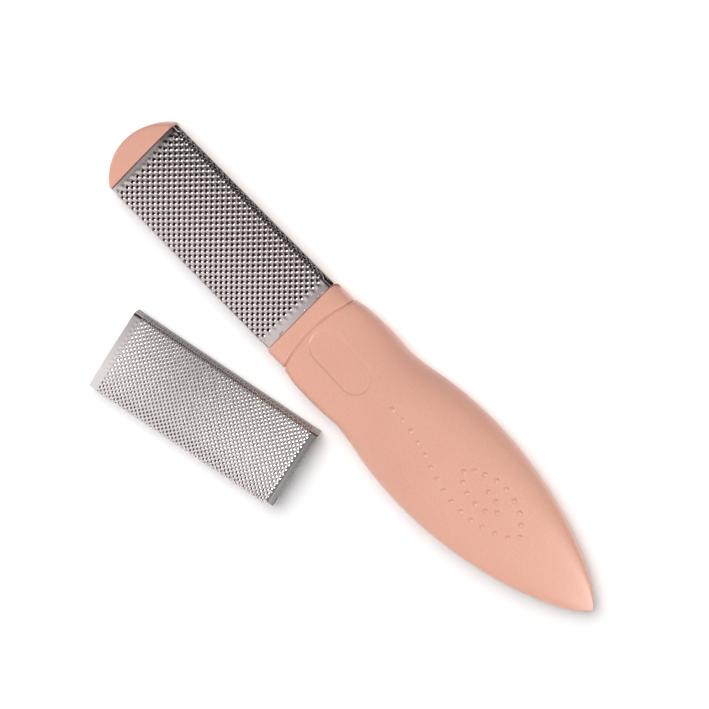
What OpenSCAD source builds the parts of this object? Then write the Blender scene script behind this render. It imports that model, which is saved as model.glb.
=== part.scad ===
// Foot file with a mounted coarse rasp plate and a spare fine one.
// +X runs along the file towards its tip, +Y towards the spare plate, +Z up.
// The origin is under the collar's front face, on the centre line, where the file rests.

/* [Rasp plates] */
// Width of a plate over its side walls
plate_w = 29; // [26:0.5:31]
// Length of a plate
plate_len = 70.4; // [50:0.1:85]
// Height of a plate from its lips to the middle of its crown
plate_h = 7.6; // [6.8:0.1:9]
// Radius of the crown across the plate
crown_r = 90; // [60:1:150]
// Radius of the rolled long edges
edge_r = 1.3; // [1:0.1:2]
// Thickness of the sheet
sheet_t = 0.4; // [0.3:0.05:0.6]
// Width of the lip folded in under each long edge
lip_w = 2.4; // [1.6:0.1:3.5]
// Outside radius of the fold between a side wall and its lip
fold_r = 0.8; // [0.7:0.05:1.2]
// Height of the lowest hole's centre above the lips
hole_low_z = 3.4; // [2.4:0.1:4]

/* [Coarse holes] */
// Distance between the coarse plate's rows along the file
coarse_step_x = 1.175; // [1.1:0.005:2]
// Distance between its lines of holes across the plate, measured on the sheet
coarse_step_s = 1.247; // [1.1:0.005:2]
// Diameter of a coarse hole
coarse_hole_d = 0.85; // [0.5:0.05:1]
// Plain strip between the coarse holes and the tip
coarse_tip_strip = 2.8; // [1.5:0.1:8]
// Plain strip between the coarse holes and the collar
coarse_heel_strip = 4.1; // [1.5:0.1:8]
// Lines of coarse holes on each side of the middle line, if the sheet has room for them
coarse_lines = 13; // [4:1:14]

/* [Fine holes] */
// Distance between the fine plate's rows along the plate
fine_step_x = 0.862; // [0.8:0.002:1.4]
// Distance between its lines of holes across the plate, measured on the sheet
fine_step_s = 0.896; // [0.8:0.002:1.4]
// Diameter of a fine hole
fine_hole_d = 0.55; // [0.3:0.05:0.7]
// Plain strip at each end of the fine plate
fine_strip = 3.3; // [1.5:0.1:8]
// Lines of fine holes that are drilled on each side of the middle line
fine_lines = 11; // [4:1:11]

/* [Spare plate's place] */
// Distance from the collar's front face to the spare plate's middle, along the file
spare_x = 1; // [-20:1:20]
// Distance from the file's centre line to the spare plate's middle
spare_y = 44.5; // [42:0.5:80]
// Turn of the spare plate
spare_turn = 12; // [-15:1:15]

/* [Tongue] */
// Thickness of the flange under the plate
flange_t = 2.2; // [1.4:0.1:3.5]
// Distance that the flange's edges lie inside the plate's walls
flange_inset = 0.8; // [0.5:0.1:2]
// Clearance between a plate and the tongue
plate_gap = 0.2; // [0.15:0.05:0.3]
// Radius of the flange's lower edges
flange_r = 1; // [0.4:0.1:1.3]
// Clearance between the plate and the collar's front face
heel_gap = 0.15; // [0.1:0.05:0.5]
// Distance that the tongue ends beyond the plate
tongue_over = 0.35; // [0.1:0.05:1]
// Height of the floor of the tray under the plate, which takes the dust
tray_floor = 4.2; // [3.8:0.1:4.6]
// Thickness of the tray's side rails
tray_rail = 2; // [1.2:0.1:3]
// Thickness of the tray's end walls
tray_end = 2.5; // [1.5:0.1:4]

/* [Tip] */
// Length of the half-moon tip
tip_len = 8; // [6:0.1:12]
// Length of the tip's straight sides, before its arc starts
tip_side = 0.8; // [0.2:0.1:2]
// Height of the tip above the plate's crown
tip_proud = 0.3; // [0:0.05:0.8]
// Radius of the tip's long edges
tip_edge_r = 1.5; // [1:0.1:2.5]
// Width of each prong
prong_w = 5; // [3:0.1:7]
// Thickness of each prong
prong_t = 2.2; // [1.4:0.1:2.4]
// Length of each prong
prong_len = 12; // [6:0.5:20]
// Distance from the centre line to each prong's middle
prong_y = 7; // [4:0.1:9]
// Clearance round a prong in its socket
prong_gap = 0.12; // [0.05:0.01:0.3]

/* [Collar] */
// Width of the collar
collar_w = 31; // [30:0.5:34]
// Height of the collar
collar_h = 10.6; // [10:0.1:12]
// Length of the collar on the centre line
collar_len = 5.2; // [4:0.1:9]
// Radius of the collar's front corners, seen from above
collar_corner_r = 1.4; // [0.5:0.1:3]
// Radius of the seam's arc, seen from above
seam_r = 45; // [30:1:90]
// Gap in the seam between the collar and the handle
seam_gap = 0.15; // [0.05:0.05:0.4]
// Depth of the groove along the seam
groove_depth = 0.4; // [0.1:0.05:0.8]
// Width of the groove along the seam
groove_w = 0.6; // [0.2:0.1:1.2]

/* [Handle] */
// Distance from the collar's front face to the tail's end
handle_len = 131; // [115:1:150]
// Greatest width of the handle
belly_w = 40.8; // [37:0.5:48]
// Distance from the collar's front face to the widest place
belly_x = 67; // [60:1:74]
// Greatest height of the handle
handle_h = 15.2; // [13:0.2:20]
// Distance from the collar's front face to the highest place
crest_x = 45; // [38:1:60]
// Height of the level line where the two halves meet
part_z = 5.2; // [4.6:0.1:6]
// Depth that the flat land takes off the round underside
land_cut = 0.9; // [0.4:0.1:1.5]
// Distance from the collar's front face to where the underside starts to rise
lift_x = 76; // [70:1:95]
// Thickness of the handle's walls
wall = 2.2; // [1.6:0.1:2.6]
// Length of the solid end of the tail
tail_solid = 12; // [6:1:20]

/* [Tang] */
// Length of the plug that fills the handle's mouth, from the collar's front face
plug_reach = 14; // [11:0.5:18]
// Clearance between the plug and the handle's walls
plug_gap = 0.2; // [0.1:0.05:0.4]
// Distance from the collar's front face to the tang's end
tang_reach = 49; // [44:1:54]
// Width of the tang
tang_w = 16; // [12:0.5:18]
// Thickness of the tang
tang_t = 3.6; // [2.6:0.1:4.4]
// Diameter of the posts inside the handle
post_d = 4; // [3:0.1:4.6]
// Diameter of the bosses that hold the posts
boss_d = 8; // [7:0.1:9]
// Clearance round a post
post_gap = 0.1; // [0.05:0.01:0.2]
// Clearance between a boss and what it clamps
boss_gap = 0.1; // [0.05:0.05:0.3]
// Distance from the collar's front face to the first post
post_1_x = 23; // [20:1:27]
// Distance from the collar's front face to the second post
post_2_x = 40; // [34:1:42]
// Distance from the collar's front face to the third post, behind the tang
post_3_x = 88; // [80:1:94]

/* [Hidden] */
// Overrun of every cut and every buried end
over = 1;
// Half-width of the handle from the collar to the belly, as [share of belly_x, share of belly_w / 2]
flank_shares = [[0.08, 0.766], [0.12, 0.776], [0.19, 0.822], [0.28, 0.84], [0.38, 0.838],
    [0.48, 0.818], [0.58, 0.856], [0.7, 0.93], [0.84, 0.984], [1, 1]];
// Roundness of the handle's upper side, as [share of handle_len, exponent]
round_shares = [[0.04, 4.2], [0.2, 2.7], [0.45, 2.6], [1, 3.4]];
under_round = 3;
// Exponents of the curves behind the belly, the crest and the lift
tail_bend = [1.8, 0.72];
crest_bend = [1.6, 0.8];
lift_bend = [1.7, 0.62];
// The hollow's end is round, and no thicker than this share of the handle is left out of it
hollow_bend = 14;
hollow_share = 0.35;
// Stations along the handle, how they crowd towards the tail, and points over half a section
stations = 34;
crowding = 1.35;
arc_points = 20;
// Sides of a circle of small and of large radius
small_sides = 32;
large_sides = 360;

// Each line of holes has a flat in the sheet, wider than its holes by this much
flat_over = 0.1;
// Flats round the fold between a wall and its lip
fold_points = 6;

// The plate's lips lie at plate_z, and its tip end at plate_end
plate_z = flange_t + plate_gap;
plate_end = heel_gap + plate_len;
tongue_len = plate_end + tongue_over;
// Where a plate's crown runs into its rolled edges
crown_mid_z = plate_h - crown_r;
edge_y = plate_w / 2 - edge_r;
edge_z = crown_mid_z + sqrt(pow(crown_r - edge_r, 2) - edge_y * edge_y);
edge_lean = asin(edge_y / (crown_r - edge_r));
crown_s = crown_r * edge_lean * PI / 180;
edge_s = crown_s + edge_r * (90 - edge_lean) * PI / 180;
// Radius of the tip's arc through the ends of its straight sides
tip_arc = tip_len - tip_side;
tip_r = (pow(plate_w / 2, 2) + tip_arc * tip_arc) / (2 * tip_arc);
prong_z = tray_floor / 2;
hollow_end = handle_len - tail_solid;
mouth = collar_len + seam_gap;

// Value at x of a smooth curve through the table t of [x, value] pairs
function slope_at(t, i) = i == 0 ? (t[1][1] - t[0][1]) / (t[1][0] - t[0][0])
    : i == len(t) - 1 ? 0
    : (t[i + 1][1] - t[i - 1][1]) / (t[i + 1][0] - t[i - 1][0]);
function curve_at(t, x, i = 0) = i < len(t) - 2 && x > t[i + 1][0] ? curve_at(t, x, i + 1)
    : let (span = t[i + 1][0] - t[i][0], u = max(0, (x - t[i][0]) / span))
    t[i][1] * (1 - 3 * u * u + 2 * u * u * u) + t[i + 1][1] * (3 * u * u - 2 * u * u * u)
    + span * slope_at(t, i) * (u - 2 * u * u + u * u * u)
    + span * slope_at(t, i + 1) * (u * u * u - u * u);
// Share left at u of the way along a curve that falls from 1 to 0
function fall(u, bend) = pow(max(0, 1 - pow(max(0, u), bend[0])), bend[1]);

// Half-width, top, underside and roundness of the handle at distance d behind the collar's front face
function half_w(d) = d < belly_x
    ? max(collar_w / 2, belly_w / 2 * curve_at(flank_shares, d / belly_x))
    : belly_w / 2 * fall((d - belly_x) / (handle_len - belly_x), tail_bend);
function top_z(d) = d < crest_x
    ? collar_h + (handle_h - collar_h) * pow(sin(90 * max(0, d - collar_len) / (crest_x - collar_len)), 2)
    : part_z + (handle_h - part_z) * fall((d - crest_x) / (handle_len - crest_x), crest_bend);
function low_z(d) = part_z - (part_z + land_cut) * fall((d - lift_x) / (handle_len - lift_x), lift_bend);
function round_at(d) = curve_at(round_shares, d / handle_len);

// Point of a round section of half-width a and height b, where n is its roundness
function on_round(angle, a, b, n) =
    [a * sign(cos(angle)) * pow(abs(cos(angle)), 2 / n), b * pow(abs(sin(angle)), 2 / n)];
// Distance that the seam lies further back at y than on the centre line
function sweep_at(y) = seam_r - sqrt(seam_r * seam_r - y * y);
// The sweep of the seam fades out over five times the collar's length
function swept(d, y) = d + sweep_at(y) * max(0, 1 - (d - collar_len) / (5 * collar_len));
function inside(size, inset) = max(size - inset, size * hollow_share);

// Point of the handle's skin or, with an inset and a shrink, of its hollow. Up is 1 on the upper half and -1 below.
function skin(d, angle, up, inset, shrink) =
    let (back = swept(d, half_w(d) * cos(angle)),
         rise = up > 0 ? top_z(back) - part_z : part_z - low_z(back),
         p = on_round(angle, inside(half_w(back), inset) * shrink, inside(rise, inset) * shrink,
             up > 0 ? round_at(back) : under_round),
         z = part_z + up * p[1])
    [-back, p[0], up > 0 ? z : max(z, inset * shrink + part_z * (1 - shrink))];
// Distance of station i from the collar's front face, where the last station lies at the end
function station(i, end) = i == 0 ? mouth
    : mouth + groove_w + (end - mouth - groove_w) * (1 - pow(1 - (i - 1) / (stations - 1), crowding));
function hollow_shrink(d) = sqrt(max(0, 1 - pow((d - mouth) / (hollow_end - mouth), hollow_bend)));

// One half of the handle: rings of outer skin and of hollow, each closed by a pole, joined along the rim
module half_shell(up) {
    ring = arc_points + 1;
    outer = [for (i = [0:stations - 1], j = [0:arc_points])
        skin(station(i, handle_len), 180 * j / arc_points, up, i == 0 ? groove_depth : 0, 1)];
    inner = [for (i = [0:stations - 1], j = [0:arc_points])
        skin(station(i, hollow_end), 180 * j / arc_points, up, wall, hollow_shrink(station(i, hollow_end)))];
    poles = [[-handle_len, 0, part_z], [-hollow_end, 0, part_z]];
    first = len(outer);
    outer_pole = 2 * first;
    inner_pole = outer_pole + 1;
    last = (stations - 1) * ring;
    function quad(a, b, c, d) = [[a, b, c], [a, c, d]];
    faces = concat(
        [for (i = [0:stations - 2], j = [0:arc_points - 1])
            let (a = i * ring + j, b = a + ring) each quad(a, b, b + 1, a + 1)],
        [for (j = [0:arc_points - 1]) [last + j, outer_pole, last + j + 1]],
        [for (i = [0:stations - 2], j = [0:arc_points - 1])
            let (a = first + i * ring + j, b = a + ring) each quad(a, a + 1, b + 1, b)],
        [for (j = [0:arc_points - 1]) [first + last + j, first + last + j + 1, inner_pole]],
        [for (j = [0:arc_points - 1]) each quad(j, j + 1, first + j + 1, first + j)],
        [for (i = [0:stations - 2]) let (a = i * ring, b = a + ring)
            each quad(a, first + a, first + b, b)],
        [for (i = [0:stations - 2]) let (a = i * ring + arc_points, b = a + ring)
            each quad(a, b, first + b, first + a)],
        quad(last, first + last, inner_pole, outer_pole),
        quad(last + arc_points, outer_pole, inner_pole, first + last + arc_points));
    polyhedron(concat(outer, inner, poles), up < 0 ? faces : [for (f = faces) [f[2], f[1], f[0]]]);
}

module upright(d, x, low, high) {
    translate([-x, 0, low]) cylinder(d = d, h = high - low, $fn = small_sides);
}

// Upper half of the handle, with a post at each place where the halves are joined
module handle_top() color("#E9B49C") {
    half_shell(1);
    for (x = [post_1_x, post_2_x, post_3_x]) {
        foot = x < tang_reach ? part_z + tang_t / 2 + boss_gap : part_z + boss_gap;
        upright(boss_d, x, foot, top_z(x) - wall / 2);
        upright(post_d, x, wall / 2 + boss_gap, foot + over);
    }
}

// Lower half of the handle, with a bored boss under each post
module handle_bottom() color("#E9B49C") {
    difference() {
        union() {
            half_shell(-1);
            for (x = [post_1_x, post_2_x, post_3_x])
                upright(boss_d, x, wall / 2, x < tang_reach ? part_z - tang_t / 2 - boss_gap : part_z);
        }
        for (x = [post_1_x, post_2_x, post_3_x])
            upright(post_d + 2 * post_gap, x, wall / 2, part_z + over);
    }
}

// Level section of the collar, or of the plug with an inset, as the handle's skin has it at the seam
module collar_outline(inset) {
    polygon(concat(
        [for (j = [0:arc_points]) let (p = on_round(180 * j / arc_points, collar_w / 2 - inset,
            collar_h - part_z - inset, round_shares[0][1])) [p[0], part_z + p[1]]],
        [for (j = [arc_points - 1:-1:1]) let (p = on_round(180 * j / arc_points, collar_w / 2 - inset,
            part_z + land_cut - inset, under_round)) [p[0], max(inset, part_z - p[1])]]));
}

// Extrudes an outline of Y and Z from one place along the file to another
module along(from, to) {
    translate([from, 0, 0]) rotate([90, 0, 90]) linear_extrude(to - from) children();
}

// Outline with a crowned top and rolled edges; its lower corners have the radius low_r and lie at low
module crowned(w, top, r_crown, r_edge, low, low_r) {
    mid = top - r_crown;
    side_y = w / 2 - r_edge;
    side_z = mid + sqrt(pow(r_crown - r_edge, 2) - side_y * side_y);
    fan = (top + over - mid) / (side_z - mid);
    intersection() {
        translate([0, mid]) circle(r = r_crown, $fn = large_sides);
        polygon([[-side_y, side_z], [-side_y * fan, top + over], [side_y * fan, top + over], [side_y, side_z],
            [side_y, low + low_r], [-side_y, low + low_r]]);
    }
    translate([-w / 2, low + low_r]) square([w, side_z - low - low_r]);
    translate([low_r - w / 2, low]) square([w - 2 * low_r, side_z - low]);
    for (side = [-1, 1]) {
        translate([side * side_y, side_z]) circle(r = r_edge, $fn = small_sides);
        if (low_r > 0) translate([side * (w / 2 - low_r), low + low_r]) circle(r = low_r, $fn = small_sides);
    }
}

// Front moulding: collar, plug and tang behind it, and the tongue that carries a plate
module head_carrier() color("#E9B49C") {
    core_gap = sheet_t + plate_gap;
    neck_w = plate_w - 2 * lip_w - 2 * plate_gap;
    difference() {
        union() {
            intersection() {
                along(-collar_len - sweep_at(collar_w / 2) - over, 0) collar_outline(0);
                linear_extrude(collar_h + over) collar_plan();
            }
            along(-plug_reach, -collar_len / 2) collar_outline(wall + plug_gap);
            translate([-tang_reach, -tang_w / 2, part_z - tang_t / 2])
                cube([tang_reach - collar_len, tang_w, tang_t]);
            along(-collar_len / 2, tongue_len) tongue_outline(core_gap, neck_w);
        }
        for (x = [post_1_x, post_2_x]) upright(post_d + 2 * post_gap, x, 0, part_z + tang_t);
        prongs(prong_gap, over);
        tray_w = plate_w - 2 * core_gap - 2 * tray_rail;
        translate([tray_end, -tray_w / 2, tray_floor])
            cube([tongue_len - 2 * tray_end, tray_w, plate_z + plate_h - tray_floor]);
    }
}

module collar_plan() {
    back = collar_len + sweep_at(collar_w / 2) + over;
    difference() {
        union() {
            translate([-back, -collar_w / 2]) square([back - collar_corner_r, collar_w]);
            translate([-back, collar_corner_r - collar_w / 2]) square([back, collar_w - 2 * collar_corner_r]);
            for (side = [-1, 1]) translate([-collar_corner_r, side * (collar_w / 2 - collar_corner_r)])
                circle(r = collar_corner_r, $fn = small_sides);
        }
        translate([-collar_len - seam_r, 0]) circle(r = seam_r, $fn = large_sides);
    }
}

// Section of the tongue: a core inside the plate, a neck between its lips, and a flange under them
module tongue_outline(core_gap, neck_w) {
    flange_w = plate_w - 2 * flange_inset;
    crowned(plate_w - 2 * core_gap, plate_z + plate_h - core_gap, crown_r - core_gap, edge_r - core_gap,
        plate_z + core_gap, max(0, fold_r - core_gap));
    translate([-neck_w / 2, flange_r]) square([neck_w, plate_z + core_gap]);
    translate([-flange_w / 2, flange_r]) square([flange_w, flange_t - flange_r]);
    translate([flange_r - flange_w / 2, 0]) square([flange_w - 2 * flange_r, flange_t]);
    for (side = [-1, 1]) translate([side * (flange_w / 2 - flange_r), flange_r])
        circle(r = flange_r, $fn = small_sides);
}

// The tip's two prongs or, with a gap, their sockets, reaching past the tongue's end
module prongs(gap, reach) {
    for (side = [-1, 1])
        translate([tongue_len - prong_len - gap, side * prong_y - prong_w / 2 - gap, prong_z - prong_t / 2 - gap])
            cube([prong_len + gap + reach, prong_w + 2 * gap, prong_t + 2 * gap]);
}

// Half-moon tip that closes the tongue and keeps the plate on it
module tip_cap() color("#E9B49C") {
    intersection() {
        along(tongue_len, tongue_len + tip_len + over)
            crowned(plate_w, plate_z + plate_h + tip_proud, crown_r + tip_proud, tip_edge_r, 0, tip_edge_r);
        linear_extrude(plate_z + plate_h + tip_proud + over) union() {
            translate([tongue_len, -plate_w / 2]) square([tip_side, plate_w]);
            intersection() {
                translate([tongue_len + tip_len - tip_r, 0]) circle(r = tip_r, $fn = large_sides);
                translate([tongue_len, -plate_w / 2]) square([tip_len + over, plate_w]);
            }
        }
    }
    prongs(0, over);
}

// Point [y, z] of the sheet at distance s from the crown's middle, measured on its outside, and at a depth in it
function on_sheet(s, depth = 0) =
    let (m = abs(s),
         lean = m < crown_s ? m / crown_r * 180 / PI
             : m < edge_s ? edge_lean + (m - crown_s) / edge_r * 180 / PI : 90,
         y = m < crown_s ? (crown_r - depth) * sin(lean) : edge_y + (edge_r - depth) * sin(lean),
         z = m < crown_s ? crown_mid_z + (crown_r - depth) * cos(lean)
             : edge_z + (edge_r - depth) * cos(lean) - max(0, m - edge_s))
    [sign(s) * y, z];

// Half of a plate's section at a depth in its sheet, from the crown's middle to the lip's end on one side.
// It has a flat along each line of holes, and a round fold of small flats.
function half_sheet(depth, lines, step_s, flat, side) = [for (p = concat(
    [on_sheet(flat / 2, depth)],
    [for (j = [1:lines], end = [-1, 1]) on_sheet(j * step_s + end * flat / 2, depth)],
    [for (k = [0:fold_points]) let (a = 90 * k / fold_points)
        [plate_w / 2 - fold_r + (fold_r - depth) * cos(a), fold_r - (fold_r - depth) * sin(a)]],
    [[plate_w / 2 - lip_w, depth]])) [side * p[0], p[1]]];
function backwards(t) = [for (i = [len(t) - 1:-1:0]) t[i]];

// Sheet steel plate on its lips, with its collar end at x = 0, and holes in every other place of a grid
module rasp_plate(step_x, step_s, hole_d, heel_strip, tip_strip, most_lines) {
    columns = floor((plate_len - heel_strip - tip_strip) / step_x);
    lines = floor((edge_s + edge_z - hole_low_z) / step_s);
    first_x = plate_len - tip_strip - columns * step_x;
    flat = hole_d + flat_over;
    drilled = min(lines, most_lines);
    difference() {
        along(0, plate_len) polygon(concat(
            half_sheet(0, lines, step_s, flat, 1), backwards(half_sheet(sheet_t, lines, step_s, flat, 1)),
            half_sheet(sheet_t, lines, step_s, flat, -1), backwards(half_sheet(0, lines, step_s, flat, -1))));
        for (j = [-drilled:drilled]) let (a = on_sheet(j * step_s - flat / 2), b = on_sheet(j * step_s + flat / 2))
            for (i = [abs(j) % 2:2:columns])
                translate([first_x + i * step_x, (a[0] + b[0]) / 2, (a[1] + b[1]) / 2])
                    rotate([atan2(b[1] - a[1], b[0] - a[0]), 0, 0])
                        cylinder(d = hole_d, h = 2 * over, center = true, $fn = small_sides);
    }
}

module coarse_rasp_plate() color("#C9C7C6") {
    translate([heel_gap, 0, plate_z])
        rasp_plate(coarse_step_x, coarse_step_s, coarse_hole_d, coarse_heel_strip, coarse_tip_strip, coarse_lines);
}

module fine_rasp_plate() color("#D5D1D0") {
    translate([spare_x, spare_y, 0]) rotate(spare_turn) translate([-plate_len / 2, 0, 0])
        rasp_plate(fine_step_x, fine_step_s, fine_hole_d, fine_strip, fine_strip, fine_lines);
}

handle_top();
handle_bottom();
head_carrier();
tip_cap();
coarse_rasp_plate();
fine_rasp_plate();
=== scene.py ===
"""Foot file with its spare rasp plate: the looks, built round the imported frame.

Sizes in the classes are in millimetres, as in the part's source. They become metres where a mesh is made.
X runs along the file towards its tip, Y towards the spare plate, Z up, and the file rests on Z = 0.
"""

import logging
import math
from dataclasses import dataclass, field
from enum import Enum
from typing import Callable, Sequence

import bmesh
import bpy
from mathutils import Matrix, Vector


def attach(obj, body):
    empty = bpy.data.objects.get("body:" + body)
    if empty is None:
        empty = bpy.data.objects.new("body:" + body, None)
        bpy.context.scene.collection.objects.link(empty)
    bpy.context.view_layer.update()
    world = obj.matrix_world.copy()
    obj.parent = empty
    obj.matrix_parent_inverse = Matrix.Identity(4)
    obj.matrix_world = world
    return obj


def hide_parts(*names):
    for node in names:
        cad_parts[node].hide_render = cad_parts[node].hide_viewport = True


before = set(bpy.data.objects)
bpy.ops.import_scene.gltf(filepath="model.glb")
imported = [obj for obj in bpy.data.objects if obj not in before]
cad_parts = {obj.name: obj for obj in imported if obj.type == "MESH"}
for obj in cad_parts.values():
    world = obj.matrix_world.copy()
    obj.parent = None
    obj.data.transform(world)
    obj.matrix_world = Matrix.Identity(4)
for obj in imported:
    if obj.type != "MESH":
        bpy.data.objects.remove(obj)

LOG = logging.getLogger("foot_file")
MM = 0.001
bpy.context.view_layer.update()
Flat = tuple[float, float]
Point = tuple[float, float, float]
Colour = tuple[float, float, float]
Faces = list[tuple[int, ...]]

# In metres: how near two points are merged, how short an edge is dropped, and how near teeth join the sheet
DOUBLES = 2e-7
SLIVERS = 1e-7
WELD = 4e-6
# In millimetres: the slack with which places on a grid are compared
HAIR = 1e-6
# Pixels along a side of the photograph
PHOTO = 709


# ---------------------------------------------------------------------------------------------------------------------
# Nodes


class Wire:
    """An output socket on which Python's operators add Math nodes."""

    def __init__(self, desk: "Desk", socket: bpy.types.NodeSocket) -> None:
        """Keeps the desk that the wire belongs to.

        Args:
            desk: the desk whose tree holds the socket.
            socket: an output socket.
        """
        self.desk = desk
        self.socket = socket

    def math(self, operation: str, *others: "Wire | float") -> "Wire":
        """Adds one Math node with this wire first.

        Args:
            operation: the Math node's operation.
            others: the other operands.

        Returns:
            The result.
        """
        return self.desk.node("ShaderNodeMath", {"operation": operation}, dict(enumerate([self, *others])))

    def other(self, name: str | int) -> "Wire":
        """Another output of the same node."""
        return Wire(self.desk, self.socket.node.outputs[name])

    def __add__(self, value: "Wire | float") -> "Wire":
        """Sum."""
        return self.math("ADD", value)

    __radd__ = __add__

    def __mul__(self, value: "Wire | float") -> "Wire":
        """Product."""
        return self.math("MULTIPLY", value)

    __rmul__ = __mul__

    def __sub__(self, value: "Wire | float") -> "Wire":
        """Difference."""
        return self.math("SUBTRACT", value)

    def __rsub__(self, value: float) -> "Wire":
        """A number less this wire."""
        return (self * -1.0) + value

    def __truediv__(self, value: "Wire | float") -> "Wire":
        """Quotient."""
        return self.math("DIVIDE", value)

    def between(self, low: "Wire | float", high: "Wire | float") -> "Wire":
        """This wire, kept between two limits."""
        return self.math("MAXIMUM", low).math("MINIMUM", high)


class Desk:
    """Puts nodes into one tree."""

    def __init__(self, tree: bpy.types.NodeTree) -> None:
        """Keeps the tree.

        Args:
            tree: a shader, world or geometry tree.
        """
        self.tree = tree

    def node(self, kind: str, settings: dict | None = None, sockets: dict | None = None,
             out: str | int = 0) -> Wire:
        """Adds one node.

        Args:
            kind: the node's type.
            settings: its settings, such as a Math node's operation, set first.
            sockets: values or wires by socket name or number; a list feeds one socket several wires.
            out: the output to return.

        Returns:
            A wire at that output, or at the first input of a node that ends its tree.
        """
        made = self.tree.nodes.new(kind)
        for name, value in (settings or {}).items():
            setattr(made, name, value)
        for name, value in (sockets or {}).items():
            for one in value if isinstance(value, list) else [value]:
                if isinstance(one, Wire):
                    self.tree.links.new(one.socket, made.inputs[name])
                else:
                    made.inputs[name].default_value = one
        return Wire(self, made.outputs[out] if len(made.outputs) else made.inputs[0])

    def mix(self, share: Wire, first: Wire | Sequence[float], second: Wire | Sequence[float]) -> Wire:
        """Mixes two linear colours.

        Args:
            share: how much of the second there is, from 0 to 1.
            first: the first colour.
            second: the second colour.

        Returns:
            The colour.
        """
        return self.node("ShaderNodeMix", {"data_type": "RGBA"}, {0: share, 6: first, 7: second}, out=2)

    def rays(self) -> tuple[Wire, Wire]:
        """Tells the rays that show things from those that only light them.

        Returns:
            1 for rays from the camera and 0 for others, and 1 for what metal or glass shows and 0 for others.
        """
        camera = self.node("ShaderNodeLightPath", out="Is Camera Ray")
        shown = camera.other("Is Glossy Ray") + camera.other("Is Transmission Ray")
        return camera, shown.between(0.0, 1.0)


def linear(colour: Sequence[float]) -> tuple[float, float, float, float]:
    """Turns a screen colour into a linear one.

    Args:
        colour: red, green and blue from 0 to 255.

    Returns:
        Linear red, green and blue, and an alpha of 1.
    """
    share = [c / 255.0 for c in colour]
    return (*[s / 12.92 if s <= 0.04045 else ((s + 0.055) / 1.055) ** 2.4 for s in share], 1.0)


def blank_material(name: str) -> tuple[bpy.types.Material, Desk]:
    """Makes a material with an empty tree.

    Args:
        name: the material's name.

    Returns:
        The material and a desk on its tree.
    """
    material = bpy.data.materials.new(name)
    material.use_nodes = True
    material.node_tree.nodes.clear()
    return material, Desk(material.node_tree)


# ---------------------------------------------------------------------------------------------------------------------
# Finishes


@dataclass(frozen=True)
class BlushPlastic:
    """Moulded pink plastic with a fine matte grain, and painted shade that darkens the inside of the dust tray.

    The colours are screen colours. Grain, flow and specks shift the plastic from colour to pale by the shares in
    mottle. The scales of flow and specks are per metre, and tray is the box round the tray's surfaces, on which
    the tray colour paints the shade that falls into the tray.
    """

    name: str = "blush_plastic"
    colour: Colour = (217, 156, 135)
    pale: Colour = (240, 185, 165)
    mottle: tuple[float, float, float] = (0.45, 0.25, 0.3)
    roughness: float = 0.37
    rough_range: float = 0.12
    grain: float = 0.75
    grain_depth: float = 0.05
    flow_scale: float = 55.0
    speck_scale: float = 1500.0
    # Painted shade: the box and the colour below darken the tray's inside, where shade falls.
    tray: tuple[Point, Point] = ((2.4, -13.95, 4.1), (68.45, 13.95, 9.45))
    tray_shade_colour: Colour = (78, 50, 42)

    def tray_share(self, desk: Desk, place: Wire) -> Wire:
        """1 on the surfaces inside the dust tray, which take a painted shade that is nearly black, and 0 elsewhere.

        Args:
            desk: the material's desk.
            place: the object coordinates.

        Returns:
            The share.
        """
        axes = desk.node("ShaderNodeSeparateXYZ", {}, {0: place})
        share = None
        for axis, low, high in zip((axes, axes.other("Y"), axes.other("Z")), *self.tray):
            inside = axis.math("GREATER_THAN", low * MM) * axis.math("LESS_THAN", high * MM)
            share = inside if share is None else share * inside
        return share

    def make(self) -> bpy.types.Material:
        """Builds the material.

        Returns:
            The material.
        """
        material, desk = blank_material(self.name)
        place = desk.node("ShaderNodeTexCoord", out="Object")
        grain = desk.node("ShaderNodeTexNoise", {"noise_dimensions": "3D"}, {
            "Vector": place, "Scale": 1.0 / (self.grain * MM), "Detail": 2.0, "Roughness": 0.6})
        flow = desk.node("ShaderNodeTexNoise", {}, {"Vector": place, "Scale": self.flow_scale, "Detail": 3.0})
        speck = desk.node("ShaderNodeTexNoise", {}, {"Vector": place, "Scale": self.speck_scale, "Detail": 1.0})
        by_grain, by_flow, by_speck = self.mottle
        share = (grain * by_grain + flow * by_flow + speck * by_speck).between(0.0, 1.0)
        blush = desk.mix(share, linear(self.colour), linear(self.pale))
        # Painted shade: inside the tray the pink is mixed to a near-black brown for the shade that falls there.
        colour = desk.mix(self.tray_share(desk, place), blush, linear(self.tray_shade_colour))
        rough = grain * self.rough_range + (self.roughness - self.rough_range / 2)
        bump = desk.node("ShaderNodeBump", {}, {
            "Strength": 0.5, "Distance": self.grain_depth * MM, "Height": grain})
        shader = desk.node("ShaderNodeBsdfPrincipled", {}, {
            "Base Color": colour, "Roughness": rough, "Normal": bump, "IOR": 1.5, "Specular IOR Level": 0.5})
        desk.node("ShaderNodeOutputMaterial", {}, {"Surface": shader})
        return material


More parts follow.
